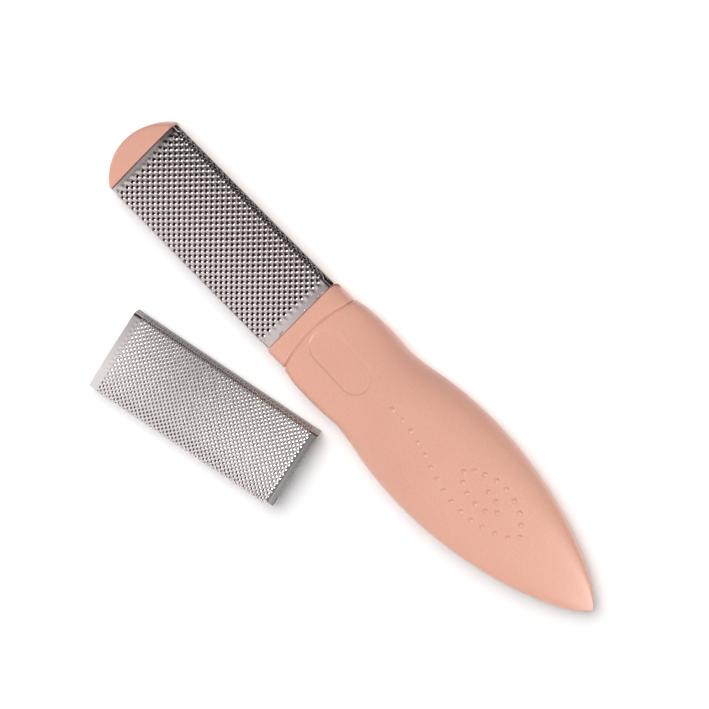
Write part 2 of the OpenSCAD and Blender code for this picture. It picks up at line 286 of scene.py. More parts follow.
@dataclass(frozen=True)
class RolledSteel:
    """Bright sheet steel with faint rolling lines across the plate, and painted shade on the faces that point down.

    The colours are screen colours, and under is a painted shade colour. turn is the plate's, in degrees, and lines
    is the width of a rolling line. The scales of lengths and clouds are per metre, and a face takes the painted
    shade where its normal's Z is less than the set limit.
    """

    name: str
    turn: float = 0.0
    colour: Colour = (207, 195, 194)
    # Painted shade: a darker colour for the faces that point down, as shade falls under the plate.
    under: Colour = (120, 114, 112)
    under_shade_from: float = -0.4
    roughness: float = 0.18
    streak_range: float = 0.1
    cloud_range: float = 0.08
    lines: float = 0.3
    lines_depth: float = 0.01
    length_scale: float = 190.0
    cloud_scale: float = 160.0

    def make(self) -> bpy.types.Material:
        """Builds the material.

        Returns:
            The material.
        """
        material, desk = blank_material(self.name)
        place = desk.node("ShaderNodeTexCoord", out="Object")
        turned = desk.node("ShaderNodeMapping", {"vector_type": "TEXTURE"},
                           {"Vector": place, "Rotation": (0.0, 0.0, math.radians(self.turn))})
        drawn = desk.node("ShaderNodeMapping", {}, {
            "Vector": turned, "Scale": (1.0 / (self.lines * MM), self.length_scale, self.length_scale)})
        streak = desk.node("ShaderNodeTexNoise", {}, {"Vector": drawn, "Scale": 1.0, "Detail": 2.0})
        cloud = desk.node("ShaderNodeTexNoise", {}, {"Vector": place, "Scale": self.cloud_scale, "Detail": 3.0})
        least = self.roughness - (self.streak_range + self.cloud_range) / 2
        rough = (streak * self.streak_range + cloud * self.cloud_range + least).between(0.05, 0.6)
        bump = desk.node("ShaderNodeBump", {}, {
            "Strength": 0.12, "Distance": self.lines_depth * MM, "Height": streak})
        # Painted shade: faces that point down get the darker under colour.
        facing = desk.node("ShaderNodeSeparateXYZ", {}, {0: desk.node("ShaderNodeNewGeometry", out="True Normal")})
        under_shade = facing.other("Z").math("LESS_THAN", self.under_shade_from)
        colour = desk.mix(under_shade, linear(self.colour), linear(self.under))
        shader = desk.node("ShaderNodeBsdfPrincipled", {}, {
            "Base Color": colour, "Metallic": 1.0, "Roughness": rough, "Normal": bump})
        desk.node("ShaderNodeOutputMaterial", {}, {"Surface": shader})
        return material


# ---------------------------------------------------------------------------------------------------------------------
# Meshes


@dataclass
class Draft:
    """Points in millimetres and faces that are put together before they become a piece."""

    points: list[Point] = field(default_factory=list)
    faces: Faces = field(default_factory=list)

    def add(self, points: Sequence[Point]) -> list[int]:
        """Adds points.

        Args:
            points: places in millimetres.

        Returns:
            Their numbers.
        """
        first = len(self.points)
        self.points.extend(points)
        return list(range(first, len(self.points)))

    def band(self, one: Sequence[int], two: Sequence[int], closed: bool = False) -> None:
        """Joins two rows of equally many points by four-sided faces.

        Args:
            one: the numbers of the first row.
            two: the numbers of the second row.
            closed: whether the rows are rings.
        """
        count = len(one)
        for i in range(count if closed else count - 1):
            j = (i + 1) % count
            self.faces.append((one[i], one[j], two[j], two[i]))

    def zip(self, one: Sequence[int], two: Sequence[int]) -> None:
        """Joins two rows of unequal length by triangles, each time across the shorter diagonal.

        Args:
            one: the numbers of the first row.
            two: the numbers of the second row, running the same way.
        """
        i = j = 0
        while i < len(one) - 1 or j < len(two) - 1:
            if i == len(one) - 1:
                first = False
            elif j == len(two) - 1:
                first = True
            else:
                first = (math.dist(self.points[one[i + 1]], self.points[two[j]])
                         <= math.dist(self.points[one[i]], self.points[two[j + 1]]))
            if first:
                self.faces.append((one[i], one[i + 1], two[j]))
                i += 1
            else:
                self.faces.append((one[i], two[j + 1], two[j]))
                j += 1

    def fan(self, ring: Sequence[int], centre: Point) -> None:
        """Closes a ring with triangles round a centre.

        Args:
            ring: the ring's numbers.
            centre: the middle point.
        """
        middle = self.add([centre])[0]
        for i, a in enumerate(ring):
            self.faces.append((a, ring[(i + 1) % len(ring)], middle))

    def brick(self, low: Point, high: Point) -> None:
        """Adds a closed box.

        Args:
            low: its lowest corner.
            high: its highest corner.
        """
        corners = self.add([(x, y, z) for z in (low[2], high[2]) for x, y in (
            (low[0], low[1]), (high[0], low[1]), (high[0], high[1]), (low[0], high[1]))])
        a, b, c, d, e, f, g, h = corners
        self.faces += [(d, c, b, a), (e, f, g, h), (a, b, f, e), (b, c, g, f), (c, d, h, g), (d, a, e, h)]

    def piece(self, name: str, finish: bpy.types.Material | None, crease: float = 32.0,
              outward: bool = True) -> bpy.types.Object:
        """Makes an object in metres, with its doubles merged and its faces turned outwards.

        Args:
            name: the object's name.
            finish: its material.
            crease: the angle in degrees past which an edge stays sharp.
            outward: whether the mesh is closed, so that its faces can be turned outwards.

        Returns:
            The object, at the origin.
        """
        mesh = bpy.data.meshes.new(name)
        mesh.from_pydata([(x * MM, y * MM, z * MM) for x, y, z in self.points], [], self.faces)
        work = bmesh.new()
        work.from_mesh(mesh)
        bmesh.ops.remove_doubles(work, verts=work.verts, dist=DOUBLES)
        bmesh.ops.dissolve_degenerate(work, edges=work.edges, dist=SLIVERS)
        if outward:
            bmesh.ops.recalc_face_normals(work, faces=work.faces)
            if work.calc_volume(signed=True) < 0:
                bmesh.ops.reverse_faces(work, faces=work.faces)
        work.to_mesh(mesh)
        work.free()
        smooth(mesh, crease)
        made = bpy.data.objects.new(name, mesh)
        bpy.context.scene.collection.objects.link(made)
        if finish:
            mesh.materials.append(finish)
        return made


def smooth(mesh: bpy.types.Mesh, crease: float) -> None:
    """Shades a mesh smooth, with the edges past an angle kept sharp."""
    mesh.shade_smooth()
    mesh.set_sharp_from_angle(angle=math.radians(crease))


def fitted(piece: bpy.types.Object, body: str, slot: str, *nodes: str) -> None:
    """Lets a piece ride on a body, in the place of the solids that it stands for.

    Args:
        piece: the finished object.
        body: the body that it moves with.
        slot: the record's material slot; it is not used.
        nodes: the solids that it replaces.
    """
    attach(piece, body)
    if nodes:
        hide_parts(*nodes)
    LOG.info("%s rides on %s, %d faces", piece.name, body, len(piece.data.polygons))


def applied(piece: bpy.types.Object) -> None:
    """Turns a piece with modifiers into a plain mesh, and drops its modifiers."""
    graph = bpy.context.evaluated_depsgraph_get()
    mesh = bpy.data.meshes.new_from_object(piece.evaluated_get(graph), preserve_all_data_layers=True, depsgraph=graph)
    piece.modifiers.clear()
    piece.data = mesh


def carved(piece: bpy.types.Object, cutter: bpy.types.Object, crease: float = 32.0) -> None:
    """Cuts a closed mesh out of another and removes the cutter.

    Args:
        piece: the mesh that is cut.
        cutter: what is taken away.
        crease: the angle in degrees past which an edge stays sharp.
    """
    cut = piece.modifiers.new("cut", "BOOLEAN")
    cut.operation, cut.solver, cut.object = "DIFFERENCE", "EXACT", cutter
    applied(piece)
    bpy.data.objects.remove(cutter)
    smooth(piece.data, crease)


def tree_of(name: str, inputs: dict[str, str]) -> tuple[Desk, dict[str, Wire], dict[str, str]]:
    """Makes a geometry tree with named inputs.

    Args:
        name: the tree's name.
        inputs: socket types by input name.

    Returns:
        A desk on the tree, a wire for each input, and each input's identifier.
    """
    tree = bpy.data.node_groups.new(name, "GeometryNodeTree")
    for label, kind in inputs.items():
        tree.interface.new_socket(name=label, in_out="INPUT", socket_type=kind)
    tree.interface.new_socket(name="Geometry", in_out="OUTPUT", socket_type="NodeSocketGeometry")
    desk = Desk(tree)
    source = desk.node("NodeGroupInput")
    wires = {label: source.other(label) for label in inputs}
    keys = {item.name: item.identifier for item in tree.interface.items_tree if item.in_out == "INPUT"}
    return desk, wires, keys


def grown(host: bpy.types.Object, desk: Desk, keys: dict[str, str], values: dict[str, object],
          crease: float) -> None:
    """Runs a geometry tree on an object and keeps the plain mesh that it makes.

    Args:
        host: the object that becomes the result.
        desk: the desk of the tree.
        keys: identifiers by input name.
        values: input values by input name.
        crease: the angle in degrees past which an edge stays sharp.
    """
    modifier = host.modifiers.new(desk.tree.name, "NODES")
    modifier.node_group = desk.tree
    for label, value in values.items():
        modifier[keys[label]] = value
    applied(host)
    smooth(host.data, crease)


# ---------------------------------------------------------------------------------------------------------------------
# Rasp plates


@dataclass(frozen=True)
class Teeth:
    """Sizes of one pattern of punched holes.

    Holes stand in every other place of a grid: step_x apart along the plate and step_s apart on the sheet across it,
    in so many lines on each side of the middle one. hole and crest are the radii of the opening and of the raised rim
    round it, and the rim's slope ends at the radius reach. oval widens them across the plate. In the bore, the rim
    has dropped to a share of its height, and the hole widens by flare towards the inside of the sheet. side_cuts and
    slope_rings, which are shares of the way from crest to border, set how finely a hole's cell is divided.
    """

    step_x: float
    step_s: float
    hole: float
    crest: float
    height: float
    reach: float
    heel_strip: float
    tip_strip: float
    lines: int
    side_cuts: int
    slope_rings: tuple[float, ...]
    oval: float = 1.0
    slope: float = 1.3
    bore: float = 0.5
    flare: float = 1.04

    def burr(self, distance: float) -> float:
        """Height of the punched-up rim at a distance from a hole's middle."""
        left = (self.reach - distance) / (self.reach - self.crest)
        return self.height * min(1.0, max(0.0, left)) ** self.slope


class RaspCut(Enum):
    """The two plates of the set."""

    COARSE = Teeth(step_x=1.175, step_s=1.247, hole=0.4, crest=0.47, height=0.26, reach=0.86,
                   heel_strip=4.1, tip_strip=3.0, lines=13, side_cuts=4, slope_rings=(0.45, 0.2))
    FINE = Teeth(step_x=0.862, step_s=0.896, hole=0.29, crest=0.345, height=0.165, reach=0.6,
                 heel_strip=3.3, tip_strip=3.3, lines=19, side_cuts=2, slope_rings=(0.45,), oval=1.42)


@dataclass(frozen=True)
class SheetSection:
    """C section of a plate: a crown with rolled long edges, side walls, and lips folded in under them."""

    width: float = 29.0
    height: float = 7.6
    crown: float = 90.0
    edge: float = 1.3
    sheet: float = 0.4
    lip: float = 2.4
    fold: float = 0.8

    @property
    def lean(self) -> float:
        """Angle at which the crown runs into the rolled edge."""
        return math.asin((self.width / 2 - self.edge) / (self.crown - self.edge))

    @property
    def stops(self) -> tuple[float, float, float, float, float]:
        """Distances on the sheet from its middle to the ends of crown, roll, wall, fold and lip."""
        crown = self.crown * self.lean
        roll = crown + self.edge * (math.pi / 2 - self.lean)
        roll_z = self.height - self.crown + (self.crown - self.edge) * math.cos(self.lean)
        wall = roll + roll_z - self.fold
        fold = wall + self.fold * math.pi / 2
        return crown, roll, wall, fold, fold + self.lip - self.fold

    def point(self, s: float, h: float) -> Flat:
        """Place of a point of the sheet in the plate's section.

        Args:
            s: the distance from the middle of the crown on the sheet's outside.
            h: the height above the outside, negative inside the sheet.

        Returns:
            Y and Z, where Z is 0 under the lips.
        """
        crown, roll, wall, fold, _ = self.stops
        m = abs(s)
        a = min(m, crown) / self.crown
        b = self.lean + min(max(m - crown, 0.0), roll - crown) / self.edge
        c = math.pi / 2 + min(max(m - wall, 0.0), fold - wall) / self.fold
        turn = a + (b - self.lean) + (c - math.pi / 2)
        y = (self.crown * math.sin(a) + self.edge * (math.sin(b) - math.sin(self.lean))
             + self.fold * (math.sin(c) - 1.0) - max(0.0, m - fold) + h * math.sin(turn))
        z = (self.height - self.crown * (1.0 - math.cos(a)) + self.edge * (math.cos(b) - math.cos(self.lean))
             - min(max(m - roll, 0.0), wall - roll) + self.fold * math.cos(c) + h * math.cos(turn))
        return math.copysign(y, s) if s else 0.0, z


@dataclass
class RaspPlate:
    """One perforated plate, made flat as a sheet with its teeth and then bent to its section.

    Its heel is the end towards the collar. Each dent along that end is a half-moon, given by its middle on the sheet,
    its half-width and its reach. heel_cuts are the places of the sheet's cross lines there, as far as the holes let
    them. The rims' crests vary by the share unevenness of their height.
    """

    name: str
    body: str
    node: str
    cut: RaspCut
    place: Point
    turn: float = 0.0
    centred: bool = False
    length: float = 70.4
    dents: tuple[Point, ...] = ()
    dent_depth: float = 0.22
    heel_cuts: tuple[float, ...] = (0.0, 0.1, 0.22, 0.34, 0.46, 0.6, 0.75, 0.95, 1.3, 1.7, 2.2)
    heel_gap: float = 0.2
    unevenness: float = 0.04
    section: SheetSection = SheetSection()

    @property
    def first(self) -> float:
        """Distance of the first column of holes from the collar's end."""
        return self.length - self.cut.value.tip_strip - self.columns * self.cut.value.step_x

    @property
    def columns(self) -> int:
        """Number of the last column, counted from 0."""
        teeth = self.cut.value
        return math.floor((self.length - teeth.heel_strip - teeth.tip_strip) / teeth.step_x)

    def tooth(self) -> bpy.types.Object:
        """Makes the flat cell of one hole: its share of both skins, its raised rim and its wall.

        Returns:
            The cell, centred on the origin.
        """
        teeth, inside = self.cut.value, -self.section.sheet
        a, b = teeth.step_x, teeth.step_s
        side = [b * (i / teeth.side_cuts - 0.5) for i in range(1, teeth.side_cuts)]
        across = [a, a / 2, 0.0, -a / 2, -a]
        border = ([(a, y) for y in side if y >= 0.0] + [(x, b / 2) for x in across]
                  + [(-a, y) for y in reversed(side)] + [(x, -b / 2) for x in reversed(across)]
                  + [(a, y) for y in side if y < 0.0])
        turns = [2 * math.pi * i / len(border) for i in range(len(border))]
        draft = Draft()

        def ring(radius: float, z: float) -> list[int]:
            """One oval ring of the cell."""
            return draft.add([(radius * math.cos(t), radius * teeth.oval * math.sin(t), z) for t in turns])

        def slope(share: float) -> list[int]:
            """One ring of the slope, that share of the way from the crest to the border."""
            spots = [(teeth.crest * math.cos(t) * (1 - share) + x * share,
                      teeth.crest * teeth.oval * math.sin(t) * (1 - share) + y * share)
                     for t, (x, y) in zip(turns, border)]
            return draft.add([(x, y, self.rim_height(x, y)) for x, y in spots])

        rings = [draft.add([(x, y, self.rim_height(x, y)) for x, y in border]),
                 *[slope(share) for share in teeth.slope_rings],
                 ring(teeth.crest, teeth.height), ring(teeth.hole, teeth.height * teeth.bore),
                 ring(teeth.hole * teeth.flare, inside), draft.add([(x, y, inside) for x, y in border])]
        for one, two in zip(rings, rings[1:]):
            draft.band(one, two, closed=True)
        return draft.piece(self.name + "_tooth", None, outward=False)

    def rim_height(self, x: float, s: float) -> float:
        """Height of the sheet's outside at a place counted from a hole's middle, with holes all round."""
        teeth = self.cut.value
        i, j = x / teeth.step_x, s / teeth.step_s
        near = min(math.hypot((i - u) * teeth.step_x, (j - v) * teeth.step_s / teeth.oval)
                   for v in range(round(j) - 1, round(j) + 2) for u in range(round(i) - 2, round(i) + 3)
                   if (u + v) % 2 == 0)
        return teeth.burr(near)

    def surround(self) -> bpy.types.Object:
        """Makes the flat sheet round the holes: end strips, outer walls, folds and lips, both skins and all edges.

        Returns:
            The sheet, lying on X and Y, with the holes' field left open.
        """
        teeth, section = self.cut.value, self.section
        a, b, first, last = teeth.step_x, teeth.step_s, self.first, self.columns
        _, _, wall, fold, lip = section.stops
        left, right, edge = first - a, first + (last + 1) * a, (teeth.lines + 0.5) * b
        xs = ([x for x in self.heel_cuts if x < left - self.heel_gap]
              + [left + a / 2 * i for i in range(2 * (last + 2) + 1)]
              + [right + (self.length - right) * i / 4 for i in range(1, 5)])
        pitch = b / teeth.side_cuts
        half = ([pitch * i for i in range(1, teeth.side_cuts * (teeth.lines + 1)) if pitch * i < edge - HAIR]
                + [edge, (edge + wall) / 2] + [wall + (fold - wall) * i / 6 for i in range(7)]
                + [(fold + lip) / 2, lip])
        ss = [-s for s in reversed(half)] + [0.0] + half

        def covered(x: float, s: float) -> bool:
            """Whether a hole's cell lies there."""
            if abs(s) > edge or not left < x < right:
                return False
            parity = round(s / b) % 2
            end = last if last % 2 == parity else last - 1
            return parity - 1 < (x - first) / a < end + 1

        def dent(x: float, s: float) -> float:
            """Depth of the pressed half-moons along the heel's end."""
            return self.dent_depth * sum(max(0.0, 1.0 - ((s - at) / wide) ** 2 - (x / reach) ** 2) ** 0.5
                                         for at, wide, reach in self.dents)

        draft = Draft()
        top, low = {}, {}
        for i, x in enumerate(xs):
            for j, s in enumerate(ss):
                inside = left - HAIR < x < right + HAIR and abs(s) < edge + HAIR
                height = self.rim_height(x - first, s) if inside else -dent(x, s)
                top[i, j], low[i, j] = draft.add([(x, s, height), (x, s, min(0.0, height) - section.sheet)])
        for i in range(len(xs) - 1):
            for j in range(len(ss) - 1):
                if not covered((xs[i] + xs[i + 1]) / 2, (ss[j] + ss[j + 1]) / 2):
                    draft.faces += [(top[i, j], top[i + 1, j], top[i + 1, j + 1], top[i, j + 1]),
                                    (low[i, j + 1], low[i + 1, j + 1], low[i + 1, j], low[i, j])]
        for i, way in ((0, 1), (len(xs) - 1, -1)):
            for j in range(len(ss) - 1):
                draft.faces.append((top[i, j], top[i, j + 1], low[i, j + 1], low[i, j])[::way])
        for j, way in ((0, -1), (len(ss) - 1, 1)):
            for i in range(len(xs) - 1):
                draft.faces.append((top[i, j], top[i + 1, j], low[i + 1, j], low[i, j])[::way])
        return draft.piece(self.name, None, outward=False)

    def bending(self) -> tuple[Desk, dict[str, str]]:
        """Builds the tree that sets the teeth on their grid, joins them to the sheet and bends it.

        Returns:
            A desk on the tree, and each input's identifier.
        """
        number, whole = "NodeSocketFloat", "NodeSocketInt"
        desk, given, keys = tree_of("bent_rasp_" + self.cut.name.lower(), {
            "Geometry": "NodeSocketGeometry", "Tooth": "NodeSocketObject", "Columns": whole, "Lines": whole,
            "Step along": number, "Step across": number, "First column": number, "Crown radius": number,
            "Edge radius": number, "Fold radius": number, "Height": number, "Crown end": number,
            "Edge end": number, "Wall end": number, "Fold end": number, "Crown lean": number,
            "Unevenness": number, "Tooth height": number, "Finish": "NodeSocketMaterial"})
        bent = self.bent(desk, given, self.toothed(desk, given))
        dressed = desk.node("GeometryNodeSetMaterial", {}, {"Geometry": bent, "Material": given["Finish"]})
        desk.node("NodeGroupOutput", {}, {"Geometry": dressed})
        return desk, keys

    @staticmethod
    def toothed(desk: Desk, given: dict[str, Wire]) -> Wire:
        """Sets a tooth on every other point of a grid and welds all of them to the sheet.

        Args:
            desk: the tree's desk.
            given: the tree's inputs.

        Returns:
            The flat sheet with its teeth.
        """
        a, b = given["Step along"], given["Step across"]
        grid = desk.node("GeometryNodeMeshGrid", {}, {
            "Size X": (given["Columns"] - 1.0) * a, "Size Y": given["Lines"] * b * 2.0,
            "Vertices X": given["Columns"], "Vertices Y": given["Lines"] * 2.0 + 1.0})
        axes = desk.node("ShaderNodeSeparateXYZ", {}, {0: desk.node("GeometryNodeInputPosition")})
        column = axes / a + (given["Columns"] - 1.0) * 0.5
        line = axes.other("Y") / b
        # An even number is added, because the remainder of a negative one has the wrong sign.
        odd = ((column + line).math("ROUND") + 400.0).math("MODULO", 2.0)
        tooth = desk.node("GeometryNodeObjectInfo", {"transform_space": "ORIGINAL"}, {"Object": given["Tooth"]},
                          out="Geometry")
        teeth = desk.node("GeometryNodeInstanceOnPoints", {}, {
            "Points": grid, "Selection": odd.math("LESS_THAN", 0.5), "Instance": tooth})
        moved = desk.node("GeometryNodeTransform", {}, {
            "Geometry": teeth, "Translation": desk.node("ShaderNodeCombineXYZ", {}, {
                0: given["First column"] + (given["Columns"] - 1.0) * a * 0.5, 1: 0.0, 2: 0.0})})
        real = desk.node("GeometryNodeRealizeInstances", {}, {"Geometry": moved})
        joined = desk.node("GeometryNodeJoinGeometry", {}, {"Geometry": [given["Geometry"], real]})
        return desk.node("GeometryNodeMergeByDistance", {}, {"Geometry": joined, "Distance": WELD})

    @staticmethod
    def bent(desk: Desk, given: dict[str, Wire], sheet: Wire) -> Wire:
        """Bends a flat sheet to the plate's section, as SheetSection.point does, and makes the crests uneven.

        Args:
            desk: the tree's desk.
            given: the tree's inputs.
            sheet: the flat sheet.

        Returns:
            The bent sheet.
        """
        here = desk.node("ShaderNodeSeparateXYZ", {}, {0: desk.node("GeometryNodeInputPosition")})
        x, s, h = here, here.other("Y"), here.other("Z")
        chance = desk.node("FunctionNodeRandomValue", {"data_type": "FLOAT"},
                           {"Min": -1.0, "Max": 1.0, "Seed": 7}, out=1)
        crest = (h / given["Tooth height"]).math("GREATER_THAN", 0.9)
        height = h + chance * given["Unevenness"] * crest
        m = s.math("ABSOLUTE")
        crown, roll, wall, fold = (given[name] for name in ("Crown end", "Edge end", "Wall end", "Fold end"))
        turn_a = m.math("MINIMUM", crown) / given["Crown radius"]
        turn_b = (m - crown).between(0.0, roll - crown) / given["Edge radius"]
        turn_c = (m - wall).between(0.0, fold - wall) / given["Fold radius"]
        lean_b = turn_b + given["Crown lean"]
        turn = turn_a + turn_b + turn_c
        y = (turn_a.math("SINE") * given["Crown radius"]
             + (lean_b.math("SINE") - given["Crown lean"].math("SINE")) * given["Edge radius"]
             + (turn_c.math("COSINE") - 1.0) * given["Fold radius"]
             - (m - fold).math("MAXIMUM", 0.0) + height * turn.math("SINE"))
        z = (given["Height"] - (1.0 - turn_a.math("COSINE")) * given["Crown radius"]
             + (lean_b.math("COSINE") - given["Crown lean"].math("COSINE")) * given["Edge radius"]
             - (m - roll).between(0.0, wall - roll)
             - turn_c.math("SINE") * given["Fold radius"] + height * turn.math("COSINE"))
        place = desk.node("ShaderNodeCombineXYZ", {}, {0: x, 1: y * s.math("SIGN"), 2: z})
        return desk.node("GeometryNodeSetPosition", {}, {"Geometry": sheet, "Position": place})

    def build(self, finish: bpy.types.Material) -> bpy.types.Object:
        """Makes the plate and sets it in its place.

        Args:
            finish: the steel.

        Returns:
            The plate.
        """
        teeth, section = self.cut.value, self.section
        crown, roll, wall, fold, _ = section.stops
        plate, tooth = self.surround(), self.tooth()
        desk, keys = self.bending()
        lengths = {
            "Step along": teeth.step_x, "Step across": teeth.step_s, "First column": self.first,
            "Crown radius": section.crown, "Edge radius": section.edge, "Fold radius": section.fold,
            "Height": section.height, "Crown end": crown, "Edge end": roll, "Wall end": wall, "Fold end": fold,
            "Unevenness": self.unevenness * teeth.height, "Tooth height": teeth.height}
        grown(plate, desk, keys, {
            "Tooth": tooth, "Columns": self.columns + 1, "Lines": teeth.lines, "Crown lean": section.lean,
            "Finish": finish, **{name: length * MM for name, length in lengths.items()}}, crease=38.0)
        bpy.data.objects.remove(tooth)
        start = -self.length / 2 * MM if self.centred else 0.0
        plate.data.transform(Matrix.Translation(Vector(self.place) * MM)
                             @ Matrix.Rotation(math.radians(self.turn), 4, "Z")
                             @ Matrix.Translation((start, 0.0, 0.0)))
        fitted(plate, self.body, "plate_steel", self.node)
        return plate


# ---------------------------------------------------------------------------------------------------------------------
# Handle

# Share of the half-width past which the skin is steep, and share up to which its points stand close for the panel
STEEP = 0.8
PANEL_SHARE = 0.462
# Gaps between points across, as shares of the half-width, and along, in millimetres: on the panel's side or below
PANEL_CROSS, PLAIN_CROSS = 0.0105, 0.04
PANEL_GAP, PLAIN_GAP = 0.17, 0.8
# Lengths in millimetres behind the groove, and before the tail's end, on which rings stand close
PANEL_ZONE, TAIL_ZONE = 26.5, 8
# Exponents of the hollow's rounded end and of its section
HOLLOW_END, HOLLOW_ROUND = 14, 2.8


def curve_at(table: Sequence[Flat], x: float) -> float:
    """Value at x of a smooth curve through a table.

    Args:
        table: pairs of place and value.
        x: the place.

    Returns:
        The value.
    """
    def slope(i: int) -> float:
        """Slope of the curve at one pair."""
        if i == len(table) - 1:
            return 0.0
        low, high = table[max(0, i - 1)], table[i + 1]
        return (high[1] - low[1]) / (high[0] - low[0])

    i = 0
    while i < len(table) - 2 and x > table[i + 1][0]:
        i += 1
    span = table[i + 1][0] - table[i][0]
    u = max(0.0, (x - table[i][0]) / span)
    return (table[i][1] * (1 - 3 * u * u + 2 * u ** 3) + table[i + 1][1] * (3 * u * u - 2 * u ** 3)
            + span * slope(i) * (u - 2 * u * u + u ** 3) + span * slope(i + 1) * (u ** 3 - u * u))


def fall(u: float, bend: Flat) -> float:
    """Share left at u of the way along a curve that falls from 1 to 0."""
    return max(0.0, 1.0 - max(0.0, u) ** bend[0]) ** bend[1]


def step(value: float, low: float, high: float) -> float:
    """Smooth step from 0 at low to 1 at high."""
    t = min(1.0, max(0.0, (value - low) / (high - low)))
    return t * t * (3 - 2 * t)


@dataclass
class Handle:
    """Leaf-shaped handle of two moulded halves, with a bare recessed panel and a swirl of grip nubs.

    Distances along it count back from the collar's front face. flank gives the half-width's share of the belly's by
    the share of the way to the belly, and roundness the exponent of the upper section by the share of the length.
    Beyond the belly, the crest and lift_at, each outline falls to the tail with a pair of exponents. The seam is an
    arc of radius seam_r, whose bow fades out over seam_fade lengths of the collar.
    """

    length: float = 131.0
    belly: float = 40.8
    belly_at: float = 67.0
    belly_fall: Flat = (1.8, 0.72)
    high: float = 15.2
    crest_at: float = 45.0
    crest_fall: Flat = (1.6, 0.8)
    parting: float = 5.2
    parting_bevel: float = 0.12
    land: float = 0.9
    land_round: float = 0.25
    lift_at: float = 76.0
    lift_fall: Flat = (1.7, 0.62)
    wall: float = 2.2
    tail: float = 12.0
    collar_w: float = 31.0
    collar_h: float = 10.6
    collar_len: float = 5.2
    seam_r: float = 45.0
    seam_gap: float = 0.02
    seam_fade: float = 5.0
    groove: Flat = (0.65, 0.5)
    flank: tuple[Flat, ...] = ((0.08, 0.766), (0.12, 0.776), (0.19, 0.822), (0.28, 0.84), (0.38, 0.838),
                               (0.48, 0.818), (0.58, 0.856), (0.7, 0.93), (0.84, 0.984), (1, 1))
    roundness: tuple[Flat, ...] = ((0.04, 4.2), (0.2, 2.7), (0.45, 2.6), (1, 3.4))
    under: float = 3.0
    panel_at: Flat = (-19.0, 0.0)
    panel: Flat = (24.2, 11.1)
    panel_depth: float = 0.26
    panel_wall: float = 0.25
    nub_path: tuple[Flat, ...] = (
        (-41.0, -1.8), (-45.5, -1.7), (-49.8, -1.1), (-54.1, -0.1), (-58.3, 1.2), (-62.5, 2.7), (-66.5, 4.0),
        (-70.6, 5.1), (-74.8, 5.8), (-79.0, 6.1), (-83.3, 5.7), (-87.4, 4.7), (-91.5, 3.5), (-95.4, 1.7),
        (-98.0, -1.3), (-95.5, -4.4), (-92.4, -6.9), (-88.4, -8.4), (-84.1, -9.3), (-80.0, -9.2), (-76.0, -8.0),
        (-72.8, -6.5), (-70.7, -3.9), (-72.9, -1.2), (-76.3, 0.4), (-80.5, 1.0), (-84.3, 0.4), (-87.4, -1.9),
        (-84.5, -4.2), (-80.7, -4.7))
    nub_profile: tuple[Flat, ...] = ((1.12, -0.1), (1.0, 0.0), (0.86, 0.2), (0.62, 0.62), (0.34, 0.92), (0.0, 1.0))
    nub_radius: float = 0.95
    nub_height: float = 0.41
    nub_sides: int = 14

    @property
    def mouth(self) -> float:
        """Distance of the halves' front edge, past the collar."""
        return self.collar_len + self.seam_gap

    def half_width(self, d: float) -> float:
        """Half of the handle's width at a distance behind the collar's front face."""
        if d < self.belly_at:
            return max(self.collar_w / 2, self.belly / 2 * curve_at(self.flank, d / self.belly_at))
        return self.belly / 2 * fall((d - self.belly_at) / (self.length - self.belly_at), self.belly_fall)

    def rise(self, d: float) -> float:
        """Height of the top above the parting line."""
        if d < self.crest_at:
            share = max(0.0, d - self.collar_len) / (self.crest_at - self.collar_len)
            climb = math.sin(math.pi / 2 * share) ** 2
            return self.collar_h - self.parting + (self.high - self.collar_h) * climb
        return (self.high - self.parting) * fall((d - self.crest_at) / (self.length - self.crest_at), self.crest_fall)

    def drop(self, d: float) -> float:
        """Depth of the round underside below the parting line, before the flat land cuts it."""
        return (self.parting + self.land) * fall((d - self.lift_at) / (self.length - self.lift_at), self.lift_fall)

    def sweep(self, y: float) -> float:
        """Distance that the seam lies further back at y than on the centre line."""
        return self.seam_r - math.sqrt(self.seam_r ** 2 - y * y)

    def panel_share(self, x: float, y: float) -> float:
        """1 inside the recessed panel, 0 outside, with a soft wall between."""
        half_x, radius = (self.panel[0] - self.panel[1]) / 2, self.panel[1] / 2
        away = math.hypot(max(0.0, abs(x - self.panel_at[0]) - half_x), y - self.panel_at[1]) - radius
        return 1.0 - step(away, -self.panel_wall, self.panel_wall)

    def skin(self, d: float, q: float, p: float | None, up: int, inset: float) -> Point:
        """Point of the handle's skin.

        Args:
            d: the distance behind the collar's front face, on the centre line.
            q: the share of the half-width, from -1 to 1.
            p: the share of the height that is left on the steep sides, or None on the middle part.
            up: 1 for the upper half, -1 for the lower.
            inset: the depth under the skin.

        Returns:
            X, Y and Z.
        """
        fade = max(0.0, 1.0 - (d - self.collar_len) / (self.seam_fade * self.collar_len))
        back = d
        # The width and the seam's bow depend on each other, and three rounds settle them.
        for _ in range(3):
            n = curve_at(self.roundness, back / self.length) if up > 0 else self.under
            if p is None:
                q_here, share = q, (1.0 - abs(q) ** n) ** (1.0 / n)
            else:
                share = (1.0 - STEEP ** n) ** (1.0 / n) * p
                q_here = math.copysign((1.0 - share ** n) ** (1.0 / n), q)
            back = d + self.sweep(self.half_width(back) * q_here) * fade
        wide, full = self.half_width(back), self.rise(back) if up > 0 else self.drop(back)
        # Near the tail's end an inset surface keeps a share of the skin's own size.
        a, b = (max(size - inset, size * 0.35) for size in (wide, full))
        x, y, z = -back, a * q_here, self.parting + up * b * share
        if up > 0 and inset == 0.0:
            z -= self.panel_depth * self.panel_share(x, y)
        if up < 0:
            z = inset + (z - inset + math.hypot(z - inset, self.land_round)) / 2
        return x, y, z

